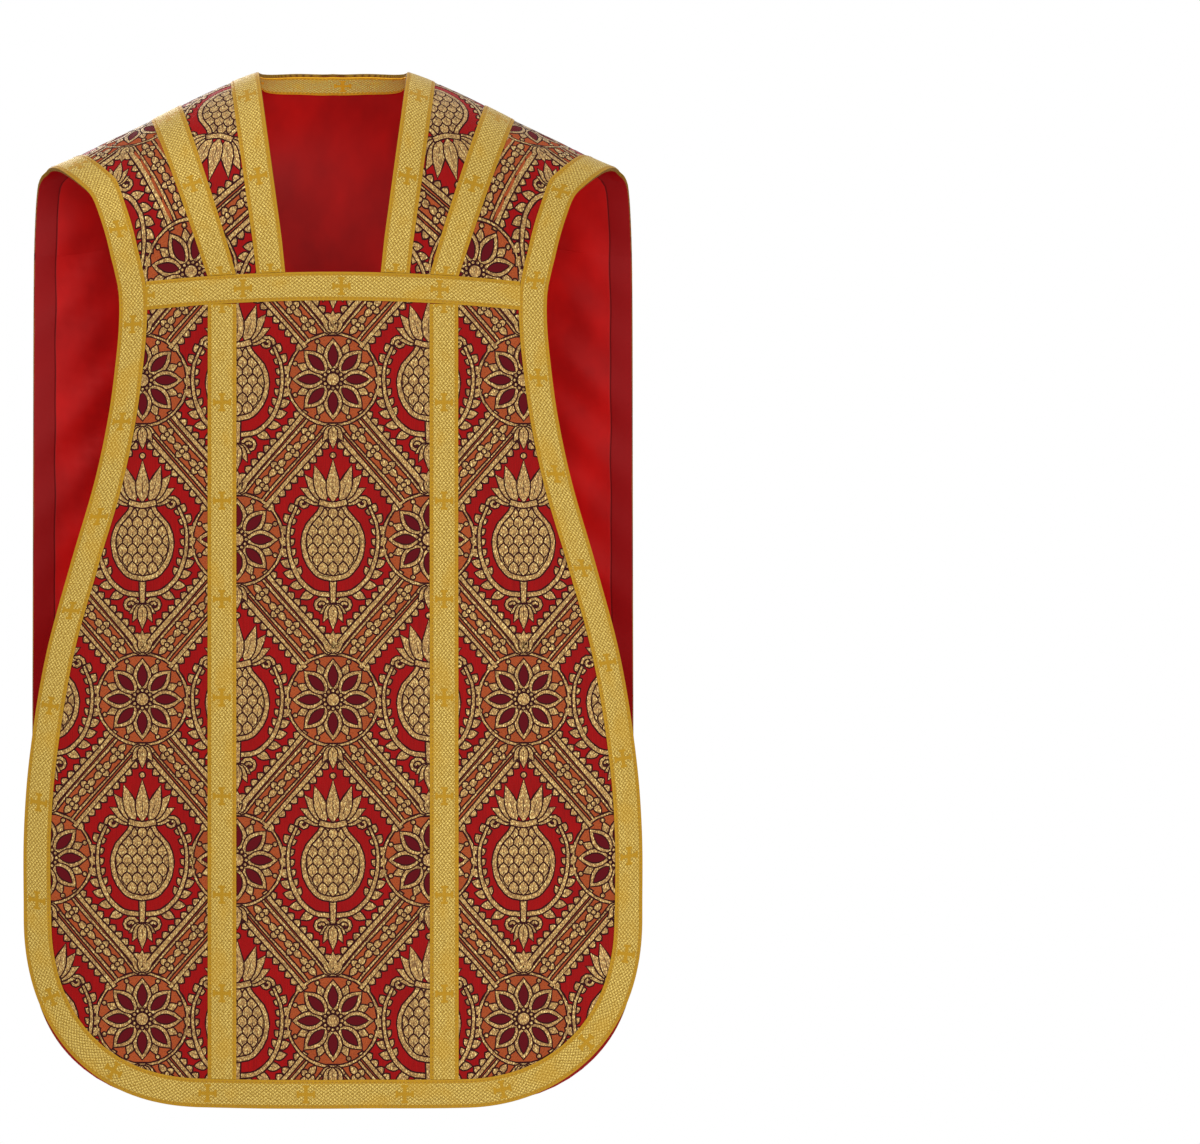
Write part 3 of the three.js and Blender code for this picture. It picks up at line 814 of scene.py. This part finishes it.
def smoothLine(points, step):  # a smooth line through a few points
    p = np.array(points, float)
    p = joined([[2 * p[0] - p[1]], p, [2 * p[-1] - p[-2]]])
    line = []
    for a, b, c, d in zip(p, p[1:], p[2:], p[3:]):
        count = max(2, int(round(np.linalg.norm(c - b) / step)))
        for t in np.arange(count) / count:
            bend = 2 * b + (c - a) * t + (2 * a - 5 * b + 4 * c - d) * t**2
            line.append(0.5 * (bend + (3 * b - a - 3 * c + d) * t**3))
    line.append(p[-2])
    return np.array(line)


def alongAndSide(line):  # steps of one millimetre along a line and to its side
    along = np.gradient(line, axis=0)
    along /= np.linalg.norm(along, axis=1, keepdims=True)
    return along, np.stack([-along[:, 1], along[:, 0]], 1)


def paintLine(line, widthA, widthB, both=True):
    line = np.asarray(line, float)
    along, side = alongAndSide(line)
    for kind, extra in (("line", pattern["outline"]), ("gold", 0.0)):
        spine = line.copy()
        spine[0] -= along[0] * extra
        spine[-1] += along[-1] * extra
        half = (np.linspace(widthA, widthB, len(line)) / 2 + extra)[:, None]
        left, right = spine + side * half, spine - side * half
        for i in range(len(line) - 1):
            quad = [tuple(left[i]), tuple(right[i]), tuple(right[i + 1]), tuple(left[i + 1])]
            (addBoth if both else addShape)(kind, quad)


def goldCurl(centre, startRadius, endRadius, startAngle, turns, widthA, widthB):
    t = np.linspace(0, 1, int(abs(turns) * 10))
    r = startRadius + (endRadius - startRadius) * t**0.85
    a = np.radians(startAngle + 360 * turns * t)
    paintLine(np.stack([centre[0] + r * np.cos(a), centre[1] + r * np.sin(a)], 1), widthA, widthB)


def fan(base, angle, petals, both=True):  # petals is (turn, length, width), the outermost first
    for turn, length, width in petals:
        goldPetal(base, angle + turn, length, width, both, 0.72, 6, vein=0.72)


def netLine(height):  # the middle of the net's band on the right of a cell, by height above the cell's middle
    return pattern["across"] / 4 * (1 + np.cos(2 * np.pi * height / pattern["down"]))


def drawPomegranate():
    half = smoothLine([(0.1, -41), (15, -37), (27, -22), (31, -3), (26, 15), (14, 29), (10.5, 37)], 5)
    bulb = [tuple(p) for p in half] + [(-x, y) for x, y in half[::-1]]
    addShape("gold", bulb)
    for row in range(7):
        height = 28 - row * 9.6
        reach = float(np.interp(height, half[:, 1], half[:, 0])) - 3.0
        x = 5.3 if row % 2 else 0.0
        while x < reach:
            goldPetal((x, height - 8), 0, 14.0, 9.9, both=x > 0, fullness=1.0, steps=5, vein=0.6)
            x += 10.6
    paintLine(half, 4.4, 3.6)
    fan((8, 40), 0, ((88, 22, 9), (62, 29, 11), (38, 35, 12), (17, 39, 12.5)))
    fan((0, 39), 0, ((0, 44, 13),), both=False)
    goldDot((0, 88), 2.6, both=False)
    collar = smoothLine([(-14, 39), (0, 36), (14, 39)], 5)
    paintLine(collar, 5.0, 5.0, both=False)


def drawLeaves():
    spine = smoothLine([(2, -58), (20, -55), (35, -42), (44, -22), (47, 0), (45, 18), (38, 34)], 6)
    slope = np.gradient(spine, axis=0)
    for i in range(len(spine) - 2, 1, -2):
        angle = math.degrees(math.atan2(*slope[i]))
        size = 16.5 - 0.4 * i
        goldPetal(spine[i], angle + 50, size, 8.4, vein=0.7)
        if i > 5:
            goldPetal(spine[i], angle - 54, size * 0.7, 6.2)
    paintLine(spine, 4.2, 2.2)
    goldCurl((31, 38), 7.6, 1.8, -10, 1.3, 2.8, 2.2)
    paintLine([(0, -42), (0, -54), (0, -66)], 6.0, 4.4, both=False)
    goldCurl((12.5, -69), 8.2, 1.8, 160, -1.4, 2.8, 2.2)
    fan((1.5, -68), 180, ((-52, 15, 6.5), (-26, 20, 7)))
    fan((0, -68), 180, ((0, 26, 9),), both=False)


def alongEdge(edge, at):  # a place on a line, and the angle in which the line runs there
    lengths = lengthsAlong(edge)
    point, ahead = ([float(np.interp(there, lengths, edge[:, c])) for c in (0, 1)] for there in (at, at + 1))
    return point, math.degrees(math.atan2(ahead[0] - point[0], ahead[1] - point[1]))


def drawNet():
    heights = np.linspace(0, pattern["down"] / 2, 44)
    middle = np.stack([netLine(heights), heights], 1)
    side = alongAndSide(middle)[1]
    for way in (1, -1):  # a scalloped cord along both sides of the band
        edge = (middle + side * way * pattern["bandHalf"])[11:-11]
        for at in np.arange(3.5, lengthsAlong(edge)[-1] - 2, 9.6):
            place, angle = alongEdge(edge, at)
            goldPetal(place, angle - way * 90, 8.6, 7.4, fullness=1.0, steps=5)
        paintLine(edge, 4.0, 4.0)
        inner = (middle + side * way * (pattern["bandHalf"] - 6.6))[12:-12]
        paintLine(inner, 1.6, 1.6)
    for at in np.linspace(64, lengthsAlong(middle)[-1] - 64, 4):
        place, angle = alongEdge(middle, at)
        for turn in (0, 90, 180, 270):
            size = 11.0 if turn % 180 == 0 else 6.6
            foot = beside(place, angle + turn, 1.5)
            goldPetal(foot, angle + turn, size, 6.4, fullness=0.9, steps=5)
        goldDot(place, 2.2, sides=8)


def drawRosette():
    middle = (0, pattern["down"] / 2)
    turns, ring = np.linspace(0, 2 * np.pi, 37), pattern["nodeRadius"]
    paintLine(np.stack([ring * np.sin(turns), middle[1] + ring * np.cos(turns)], 1), 1.8, 1.8, both=False)
    for angle in np.arange(22.5, 360, 45):
        goldPetal(beside(middle, angle, 24), angle, 16, 8.6, both=False, vein=0.7)
        goldDot(beside(middle, angle, 42.8), 1.9, both=False, sides=7)
    for angle in range(0, 360, 45):
        foot = beside(middle, angle, 9)
        goldPetal(foot, angle, 33, 18.5, both=False, fullness=0.92, steps=8, heart=3.2)
    for angle in range(0, 360, 30):
        goldDot(beside(middle, angle, 9.4), 1.5, both=False, sides=6)
    goldDot(middle, 6.2, both=False, sides=12)
    for end, angle in ((1, 0), (-1, 180)):
        foot = middle[1] + end * 49
        fan((1.5, foot), angle, ((end * 60, 13, 6), (end * 30, 18, 7)))
        fan((0, foot), angle, ((0, 23, 9),), both=False)


drawNet()
drawRosette()
drawLeaves()
drawPomegranate()


def meshOfFigure():  # one cell's shapes made one flat mesh, with triangles small enough to follow the cloth
    points, faces = [], []
    for _, polygon in figureShapes:
        faces.append(list(range(len(points), len(points) + len(polygon))))
        points += [Vector(p) for p in polygon.tolist()]
    rank = {"gold": 0, "line": 1, "heart": 2}
    kinds = [rank[kind] for kind, _ in figureShapes]
    flat, _, cells, _, _, owners = delaunay_2d_cdt(points, [], faces, 0, 1e-4, True)
    work = bmesh.new()
    corners = [work.verts.new((p[0], p[1], 0)) for p in flat]
    for cell, found in zip(cells, owners):
        if found:  # the shape painted last shows
            work.faces.new([corners[i] for i in cell]).material_index = kinds[max(found)]
    bmesh.ops.remove_doubles(work, verts=work.verts, dist=pattern["weld"])
    bmesh.ops.dissolve_limit(
        work, angle_limit=math.radians(10), verts=work.verts, edges=work.edges, delimit={"MATERIAL"}
    )
    bmesh.ops.triangulate(work, faces=work.faces)
    for _ in range(2):
        longOnes = [edge for edge in work.edges if edge.calc_length() > pattern["cell"]]
        bmesh.ops.subdivide_edges(work, edges=longOnes, cuts=1)
        bmesh.ops.triangulate(work, faces=work.faces)
    used = [v for v in work.verts if v.link_faces]
    where = np.array([v.co[:2] for v in used])
    number = {v: i for i, v in enumerate(used)}
    tris = np.array([[number[v] for v in face.verts] for face in work.faces])
    kinds = np.array([face.material_index for face in work.faces])
    work.free()
    return where, tris, kinds


cellPoints, cellTris, cellKinds = meshOfFigure()
print("one cell's figure", len(cellTris), "triangles")

figureMargin = {"side": 10, "hem": 10, "chest": 6, "neck": 8, "underBand": 14}
furthestX = 335  # no cloth lies further from the middle


def turnedBy(length, x, way):  # how far the cloth has turned and hung at a length from the shoulder line
    whole = turnLength(x, np.full_like(x, way))
    return np.where(length < whole, 90 * np.maximum(length, 0) / whole, 90 + length - whole)


def placeOnPanel(u, v, panel):  # x and q of a place in the pattern
    if panel == "front":
        return u, qAtHeight(u, -v, True)
    if panel == "back":
        x = np.clip(u, -furthestX, furthestX)
        one = np.ones_like(x)
        return u, turnedBy(v + uprightZ(x, one) + turnLength(x, one), x, 1.0)
    middle, lean = strapLook["middle"], math.radians(strapLook["lean"])
    side = 1.0 if panel == "strapLeft" else -1.0
    p, r = u * side - middle, strapLook["up"] - v
    across = p * math.cos(lean) + r * math.sin(lean)
    down = r * math.cos(lean) - p * math.sin(lean)
    a = np.clip(middle + across, 0, furthestX)
    length = down - shoulderZ(middle) + shoulderZ(a)
    return side * (middle + across), np.where(length < 0, 1.0, -turnedBy(length, a, -1.0))


def onPanel(x, q, panel):  # true where the figure shows, or lies hidden under the braid round it
    z = figurePoint(np.clip(x, -furthestX, furthestX), q)[:, 2]
    a = np.abs(x) + figureMargin["side"]
    if panel == "front":
        underChest = z < chestHeight(x) - figureMargin["chest"]
        return (a < frontHalf(z)) & (z > cut["frontHem"] + figureMargin["hem"]) & underChest
    if panel == "back":
        neck = atNeckTurn(np.minimum(np.abs(x), cut["neckShoulder"])) + 4 * (np.abs(x) < 100)
        inSides = a < backHalf(np.minimum(z, -cut["backDown"][0] - 1))
        return inSides & (z > cut["backHem"] + figureMargin["hem"]) & (q > neck) & (q > 0.05)
    onSide = x > 0 if panel == "strapLeft" else x < 0
    besideNeck = np.abs(x) > strapInner(strapShare(np.abs(q))) + figureMargin["neck"]
    overChest = z > chestHeight(x) - figureMargin["underBand"]
    return onSide & (q < -0.05) & besideNeck & (a < strapX(np.abs(q))) & overChest


def wovenFigure(name, panels):
    found = []
    start = 0
    goldTouch = np.zeros(len(cellPoints), bool)
    goldTouch[cellTris[cellKinds == 0].ravel()] = True
    out = np.where(goldTouch, pattern["goldOut"], pattern["lineOut"]) + layers["wall"] / 2
    for panel in panels:
        low, high = (-3, 12) if panel in ("front", "back") else (-4, 4)
        for i in range(-5, 6):
            for j in range(low, high):
                if (i + j) % 2:
                    continue
                u = cellPoints[:, 0] + i * pattern["across"] / 2
                v = pattern["middleV"] + (j - 2) * pattern["down"] / 2 - cellPoints[:, 1]
                if u.min() > furthestX or u.max() < -furthestX:
                    continue
                x, q = placeOnPanel(u, v, panel)
                tris = onPanel(x, q, panel)[cellTris].all(1)
                if not tris.any():
                    continue
                kept, back = np.unique(cellTris[tris], return_inverse=True)
                u, v, x, q = u[kept], v[kept], x[kept], q[kept]
                corners = back.reshape(-1, 3) + start
                maps = np.stack([u, v], -1), flatCut(x, q)
                found.append((layerPoint(x, q, out[kept]), corners, cellKinds[tris], *maps))
                start += len(kept)
    points, tris, kinds, inPattern, flat = (joined(values) for values in zip(*found))
    a, b, c = (points[tris[:, k]] for k in range(3))
    away = (a + b + c) / 3
    away[:, 2] -= np.minimum(away[:, 2], -120)
    wrong = (np.cross(b - a, c - a) * away).sum(1) < 0
    tris[wrong] = tris[wrong][:, ::-1]
    piece = newMesh(name, points * mm, tris)
    addMap(piece, "OFBake", flat)
    addMap(piece, "pattern", inPattern)
    piece.data.polygons.foreach_set("material_index", kinds.astype(np.int32))
    finishShape(piece)
    return piece


figureFront = wovenFigure("figureFront", ["front"])
figureBack = wovenFigure("figureBack", ["back"])
figureStraps = wovenFigure("figureStraps", ["strapLeft", "strapRight"])
figures = [figureFront, figureBack, figureStraps]
print("woven figure", [len(p.data.polygons) for p in figures])


def colour(*screen):  # red, green and blue as screen values from 0 to 255
    return tuple(((c / 255 + 0.055) / 1.055) ** 2.4 if c > 10 else c / 255 / 12.92 for c in screen) + (1,)


class Value:  # a value in a material's nodes, worked out with plain operators
    def __init__(self, finish, socket):
        self.finish, self.socket = finish, socket

    def __add__(self, other):
        return self.finish.maths("ADD", self, other)

    def __sub__(self, other):
        return self.finish.maths("SUBTRACT", self, other)

    def __rsub__(self, other):
        return self.finish.maths("SUBTRACT", other, self)

    def __mul__(self, other):
        return self.finish.maths("MULTIPLY", self, other)

    def __truediv__(self, other):
        return self.finish.maths("DIVIDE", self, other)

    __radd__, __rmul__ = __add__, __mul__


class Finish:  # a material, and short ways to its nodes
    def __init__(self, name):
        self.material = bpy.data.materials.new(name)
        self.material.use_nodes = True
        self.tree = self.material.node_tree
        self.shader = self.tree.nodes["Principled BSDF"]

    def node(self, kind, **settings):
        node = self.tree.nodes.new(kind)
        for key, value in settings.items():
            setattr(node, key, value)
        return node

    def fill(self, node, inputs, output=0):  # inputs is the values by the name or number of their socket
        for key, value in inputs.items():
            if isinstance(value, Value):
                self.tree.links.new(value.socket, node.inputs[key])
            else:
                node.inputs[key].default_value = value
        return Value(self, node.outputs[output])

    def maths(self, operation, *values):
        return self.fill(self.node("ShaderNodeMath", operation=operation), dict(enumerate(values)))

    def vectorMaths(self, operation, inputs, output="Vector"):
        return self.fill(self.node("ShaderNodeVectorMath", operation=operation), inputs, output)

    def size(self, value):
        return self.maths("ABSOLUTE", value)

    def least(self, a, b):
        return self.maths("MINIMUM", a, b)

    def most(self, a, b):
        return self.maths("MAXIMUM", a, b)

    def uv(self, name):
        place = self.fill(self.node("ShaderNodeUVMap", uv_map=name), {})
        split = self.node("ShaderNodeSeparateXYZ")
        return place, self.fill(split, {0: place}, 0), self.fill(split, {}, 1)

    def noise(self, vector, scale, detail, rough=0.5):
        inputs = {"Vector": vector, "Scale": scale, "Detail": detail, "Roughness": rough}
        return self.fill(self.node("ShaderNodeTexNoise"), inputs)

    def stretched(self, vector, x, y):
        return self.fill(self.node("ShaderNodeMapping"), {"Vector": vector, "Scale": (x, y, 1)})

    def mix(self, share, a, b):
        return self.fill(self.node("ShaderNodeMix", data_type="RGBA"), {0: share, 6: a, 7: b}, 2)

    def lifted(self, tint, lift):
        scaled = self.vectorMaths("SCALE", {0: tint, "Scale": lift})
        return self.vectorMaths("MINIMUM", {0: scaled, 1: (0.95,) * 3})

    def spread(self, value, low, high, outLow=0.0, outHigh=1.0):
        inputs = dict(enumerate((value, low, high, outLow, outHigh)))
        return self.fill(self.node("ShaderNodeMapRange"), inputs)

    def ribs(self, value, pitch):  # a rounded thread every pitch, from 0 to 1
        return self.size(self.maths("SINE", value * (math.pi / pitch)))

    def bump(self, height, distance, strength):
        inputs = {"Strength": strength, "Distance": distance * mm, "Height": height}
        self.fill(self.shader, {"Normal": self.fill(self.node("ShaderNodeBump"), inputs)})

    def give(self, **values):
        names = {"base": "Base Color", "rough": "Roughness", "metal": "Metallic"}
        names |= {"sheen": "Sheen Weight", "specular": "Specular IOR Level"}
        self.fill(self.shader, {names[key]: value for key, value in values.items()})
        return self.material


brocadeLook = {
    "crimson": colour(155, 12, 12),
    "crimsonDark": colour(130, 9, 10),
    "copper": colour(172, 84, 42),
    "copperDark": colour(120, 46, 22),
    "gold": colour(184, 143, 78),
    # goldLight is for painted glints on the floats, and goldDark for painted shade where the floats meet
    "goldLight": colour(228, 204, 132),
    "goldDark": colour(108, 72, 30),
    "line": colour(50, 8, 12),
    "heart": colour(98, 7, 16),
    "warp": 0.55,
    "weft": 0.9,
}


def groundFinish():
    f = Finish("brocadeGround")
    vector, u, v = f.uv("pattern")
    across, down = pattern["across"], pattern["down"]
    height = (v - pattern["middleV"]) * (2 * math.pi / down)
    folded = f.maths("PINGPONG", u, across / 2)
    line = f.maths("COSINE", height) * (across / 4) + across / 4
    slope = f.maths("SINE", height) * (math.pi * across / 2 / down)
    away = f.size(folded - line) / f.maths("SQRT", slope * slope + 1.0)
    copper = f.spread(away, pattern["bandHalf"] + 0.4, pattern["bandHalf"] - 0.4)
    level = f.maths("PINGPONG", v - pattern["middleV"], down / 2)
    for nearU, nearV in ((folded, down / 2 - level), (across / 2 - folded, level)):
        reach = f.maths("SQRT", nearU * nearU + nearV * nearV)
        copper = f.most(copper, f.spread(reach, pattern["nodeRadius"] + 0.4, pattern["nodeRadius"] - 0.4))
    warp = f.ribs(u, brocadeLook["warp"])
    twill = f.ribs(u + v, 1.5)
    weft = f.ribs(v, brocadeLook["weft"])
    slub = f.noise(f.stretched(vector, 1.2, 0.05), 1.0, 2)
    cloud = f.noise(f.stretched(vector, 0.012, 0.012), 1.0, 3)
    red = f.mix(f.spread(slub, 0.3, 0.75), brocadeLook["crimsonDark"], brocadeLook["crimson"])
    red = f.mix(warp * 0.22, red, brocadeLook["crimsonDark"])
    stipple = f.noise(f.stretched(vector, 0.7, 0.7), 1.0, 2)
    brown = f.mix(f.spread(twill * stipple, 0.12, 0.5), brocadeLook["copperDark"], brocadeLook["copper"])
    both = f.mix(copper, red, brown)
    both = f.mix(f.spread(cloud, 0.35, 0.7, 0.0, 0.16), both, brocadeLook["line"])
    f.bump(warp * (1.0 - copper) + (twill + weft) * copper, 0.12, 0.5)
    return f.give(base=both, rough=f.spread(copper, 0, 1, 0.42, 0.6), specular=0.05)


def goldFinish():
    f = Finish("goldThread")
    vector, u, v = f.uv("pattern")
    floats = f.node("ShaderNodeTexVoronoi", feature="DISTANCE_TO_EDGE")
    floats = f.fill(floats, {"Vector": f.stretched(vector, 0.62, 0.26), "Scale": 1.0})
    floatEdge = f.spread(floats, 0.02, 0.2)
    glintNoise = f.noise(f.stretched(vector, 0.5, 0.3), 1.0, 2, 0.6)
    # painted shade: darker where the floats meet
    base = f.mix(floatEdge, brocadeLook["goldDark"], brocadeLook["gold"])
    # painted glints: bright spots on the floats
    base = f.mix(f.spread(glintNoise, 0.5, 0.66) * floatEdge, base, brocadeLook["goldLight"])
    f.bump(floatEdge * 1.4 + f.ribs(v, brocadeLook["weft"]) * 0.4, 0.16, 0.7)
    rough = f.spread(glintNoise, 0.3, 0.7, 0.5, 0.32)
    return f.give(base=base, rough=rough, metal=0.45, sheen=0.1, specular=0.5)


def plainWeaveFinish(name, base, dark):
    f = Finish(name)
    vector, u, v = f.uv("pattern")
    weave = f.ribs(u, brocadeLook["warp"]) * f.ribs(v, brocadeLook["weft"])
    f.bump(weave, 0.1, 0.4)
    return f.give(base=f.mix(weave, dark, base), rough=0.6, specular=0.06)


braidLook = {
    "gold": colour(152, 117, 36),
    # light is for painted glints
    "light": colour(222, 194, 106),
    "dark": colour(78, 50, 10),
    "matte": colour(180, 135, 26),
    "diamond": 3.7,
    "thread": 0.75,
    "selvedge": 3.6,
    "crossEvery": 103.0,
    "crossReach": 9.4,
    "crossArm": 1.7,
    "crossFoot": 3.4,
}


def braidFinish(name, lift=1.0):
    f = Finish(name)
    vector, across, along = f.uv("weave")
    selvedge = braidLook["selvedge"]
    middle = f.spread(f.least(across, braidWidth - across), selvedge, selvedge + 0.6)
    slanted = along * 0.8
    size = braidLook["diamond"]
    diamond = f.least(f.ribs(across + slanted, size), f.ribs(across - slanted, size))
    sideways = f.size(across - braidWidth / 2)
    lengthways = f.maths("PINGPONG", along, braidLook["crossEvery"] / 2)
    narrow, wide = f.least(sideways, lengthways), f.most(sideways, lengthways)
    reach, arm, foot = braidLook["crossReach"], braidLook["crossArm"], braidLook["crossFoot"]
    arms = f.spread(narrow, arm + 0.4, arm)
    feet = f.spread(narrow, foot + 0.4, foot) * f.spread(wide, reach - 2.6, reach - 2.2)
    crosses = f.most(arms, feet) * f.spread(wide, reach + 0.4, reach)
    plain = f.most(crosses, 1.0 - middle)
    ground = f.ribs(along, braidLook["thread"]) + f.ribs(across, 1.1)
    weave = diamond * (1.0 - plain) + ground * 0.3
    glintNoise = f.noise(f.stretched(vector, 0.55, 0.8), 1.0, 2, 0.65)
    patch = f.noise(f.stretched(vector, 0.03, 0.02), 1.0, 2)
    base = f.mix(f.spread(weave, 0.2, 0.75), braidLook["dark"], braidLook["gold"])
    # painted glints: bright spots on the raised weave
    base = f.mix(f.spread(glintNoise, 0.38, 0.6) * f.spread(weave, 0.5, 0.95), base, braidLook["light"])
    base = f.mix(plain * 0.7, base, braidLook["matte"])
    base = f.mix(f.spread(patch, 0.52, 0.66, 0.0, 0.35), base, braidLook["matte"])
    f.bump(weave, 0.3, 0.65)
    rough = f.spread(glintNoise + f.spread(patch, 0.5, 0.66, 0.0, -0.2), 0.35, 0.75, 0.52, 0.3)
    # a lift above 1 brightens the braid's colour: painted light for braid that lies in shade
    return f.give(base=f.lifted(base, lift), rough=rough, metal=0.4, specular=0.15)


liningLook = {
    "red": colour(198, 16, 14),
    "shade": colour(166, 12, 12),
    # painted shade for the lining's strip beside the edge, where the cloth curls away from the light
    "facing": colour(142, 9, 12),
    "facingWidth": 22.0,
}


def liningFinish(withEdgeShade):
    f = Finish("satinLining" if withEdgeShade else "frontInside")
    vector, u, v = f.uv("pattern")
    height = f.ribs(u, 0.5)
    cloud = f.noise(f.stretched(vector, 0.02, 0.012), 1.0, 3)
    base = f.mix(f.spread(cloud, 0.35, 0.7), liningLook["shade"], liningLook["red"])
    if withEdgeShade:
        edge = f.fill(f.node("ShaderNodeAttribute", attribute_name="fromEdge"), {}, "Fac")
        # the strip beside the edge is painted darker as shade, and the stitched seam at its inner side is
        # painted dark as the shadow in its groove
        width = liningLook["facingWidth"]
        shadedStrip = f.spread(edge, width + 0.5, width - 0.5)
        seam = f.spread(f.size(edge - width), 1.2, 0.2)
        base = f.mix(shadedStrip, base, liningLook["facing"])
        base = f.mix(seam * 0.7, base, brocadeLook["line"])
        height = height * 0.2 + (shadedStrip * 2.0 - seam * 3.0)
    f.bump(height, 0.12, 0.5)
    return f.give(base=base, rough=0.45, specular=0.13)


def threadFinish():
    f = Finish("stitchThread")
    place = f.fill(f.node("ShaderNodeTexCoord"), {}, "Object")
    tint = f.mix(f.noise(place, 900.0, 1), colour(120, 80, 22), colour(176, 128, 44))
    return f.give(base=tint, rough=0.55, metal=0.2, specular=0.4)


def giveFinishes(piece, *materials):
    indices = readAll(piece.data.polygons, "material_index")
    piece.data.materials.clear()
    for material in materials:
        piece.data.materials.append(material)
    piece.data.polygons.foreach_set("material_index", np.minimum(indices, len(materials) - 1))


ground, gold = groundFinish(), goldFinish()
# the neck facing's braid has its colour lifted 2.8 times: painted light for its place in the shade inside the
# neck
braidGold, braidPaintedLight = braidFinish("wovenBraid"), braidFinish("wovenBraidPaintedLight", 2.8)
lineFinish = plainWeaveFinish("outlineThread", brocadeLook["line"], colour(40, 10, 12))
heartFinish = plainWeaveFinish("burgundyThread", brocadeLook["heart"], colour(74, 8, 16))
binding = plainWeaveFinish("edgeBinding", braidLook["gold"], braidLook["dark"])
lining, frontInside, thread = liningFinish(True), liningFinish(False), threadFinish()

giveFinishes(backPiece, ground, frontInside, binding)
giveFinishes(frontPiece, ground, frontInside, binding)
giveFinishes(liningPiece, lining, lining, binding)
for piece, node, _ in braidPieces:
    giveFinishes(piece, braidPaintedLight if node == "neck_facing_back" else braidGold)
giveFinishes(stitching, thread)
for piece in figures:
    giveFinishes(piece, gold, lineFinish, heartFinish)
print("finishes given")

# Each cloth piece hides the solid it stands for, and hangs from the root body.
for piece, node, _ in braidPieces:
    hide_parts(node)
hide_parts("back_panel")
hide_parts("front_panel")
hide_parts("back_lining")
for piece in [backPiece, frontPiece, liningPiece, stitching] + figures + [piece for piece, *_ in braidPieces]:
    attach(piece, "root")

for piece, _, length in braidPieces:
    length * mm

stage = {"floorZ": -1.36, "floorRadius": 1.0, "fadeFrom": 0.5, "world": 1.0}


def makeFloor():  # pale under the garment, and fading to the white of the backdrop
    bpy.ops.object.select_all(action="DESELECT")
    bpy.ops.mesh.primitive_circle_add(vertices=96, radius=stage["floorRadius"], fill_type="NGON")
    floor = bpy.context.object
    for vertex in floor.data.vertices:
        vertex.co.z = stage["floorZ"]
    floor.name = "floor"
    f = Finish("paleFloor")
    f.give(base=(0.86, 0.86, 0.86, 1), rough=0.8, specular=0.1)
    level = f.vectorMaths("MULTIPLY", {0: f.fill(f.node("ShaderNodeTexCoord"), {}, "Object"), 1: (1, 1, 0)})
    reach = f.vectorMaths("LENGTH", {0: level}, "Value")
    fade = f.spread(reach, stage["fadeFrom"], stage["floorRadius"] - 0.02)
    white = f.fill(f.node("ShaderNodeEmission"), {})
    both = f.fill(f.node("ShaderNodeMixShader"), {0: fade, 1: f.fill(f.shader, {}), 2: white})
    f.tree.links.new(both.socket, f.tree.nodes["Material Output"].inputs["Surface"])
    floor.data.materials.append(f.material)


def makeLights():
    world = bpy.data.worlds.new("studio")
    bpy.context.scene.world = world
    world.use_nodes = True
    background = world.node_tree.nodes["Background"]
    background.inputs[0].default_value = (1, 1, 1, 1)
    background.inputs[1].default_value = stage["world"]
    for name, place, size, power in (
        ("key", (-1.5, -2.4, 2.0), 1.4, 30),
        ("fill", (1.2, -2.9, -0.9), 1.8, 22),
        ("rear", (-1.2, 2.6, 1.0), 1.8, 34),
        ("top", (0, 0.2, 2.2), 1.4, 8),
    ):
        bpy.ops.object.light_add(type="AREA", location=place)
        lamp = bpy.context.object
        lamp.name = name
        lamp.data.size, lamp.data.energy = size, power
        lamp.rotation_euler = (Vector((0, 0, -0.45)) - Vector(place)).to_track_quat("-Z", "Y").to_euler()


view = {"distance": 3.097, "height": -0.537, "lens": 85.6, "shift": 0.2225}


def makeCamera():
    bpy.ops.object.camera_add(location=(0, -view["distance"], view["height"]), rotation=(math.pi / 2, 0, 0))
    camera = bpy.context.object
    camera.data.lens, camera.data.sensor_width = view["lens"], 36
    camera.data.shift_x = view["shift"]
    bpy.context.scene.camera = camera


makeFloor()
makeLights()
makeCamera()
bpy.context.scene.view_settings.view_transform = "Standard"
print("floor, light and camera set")
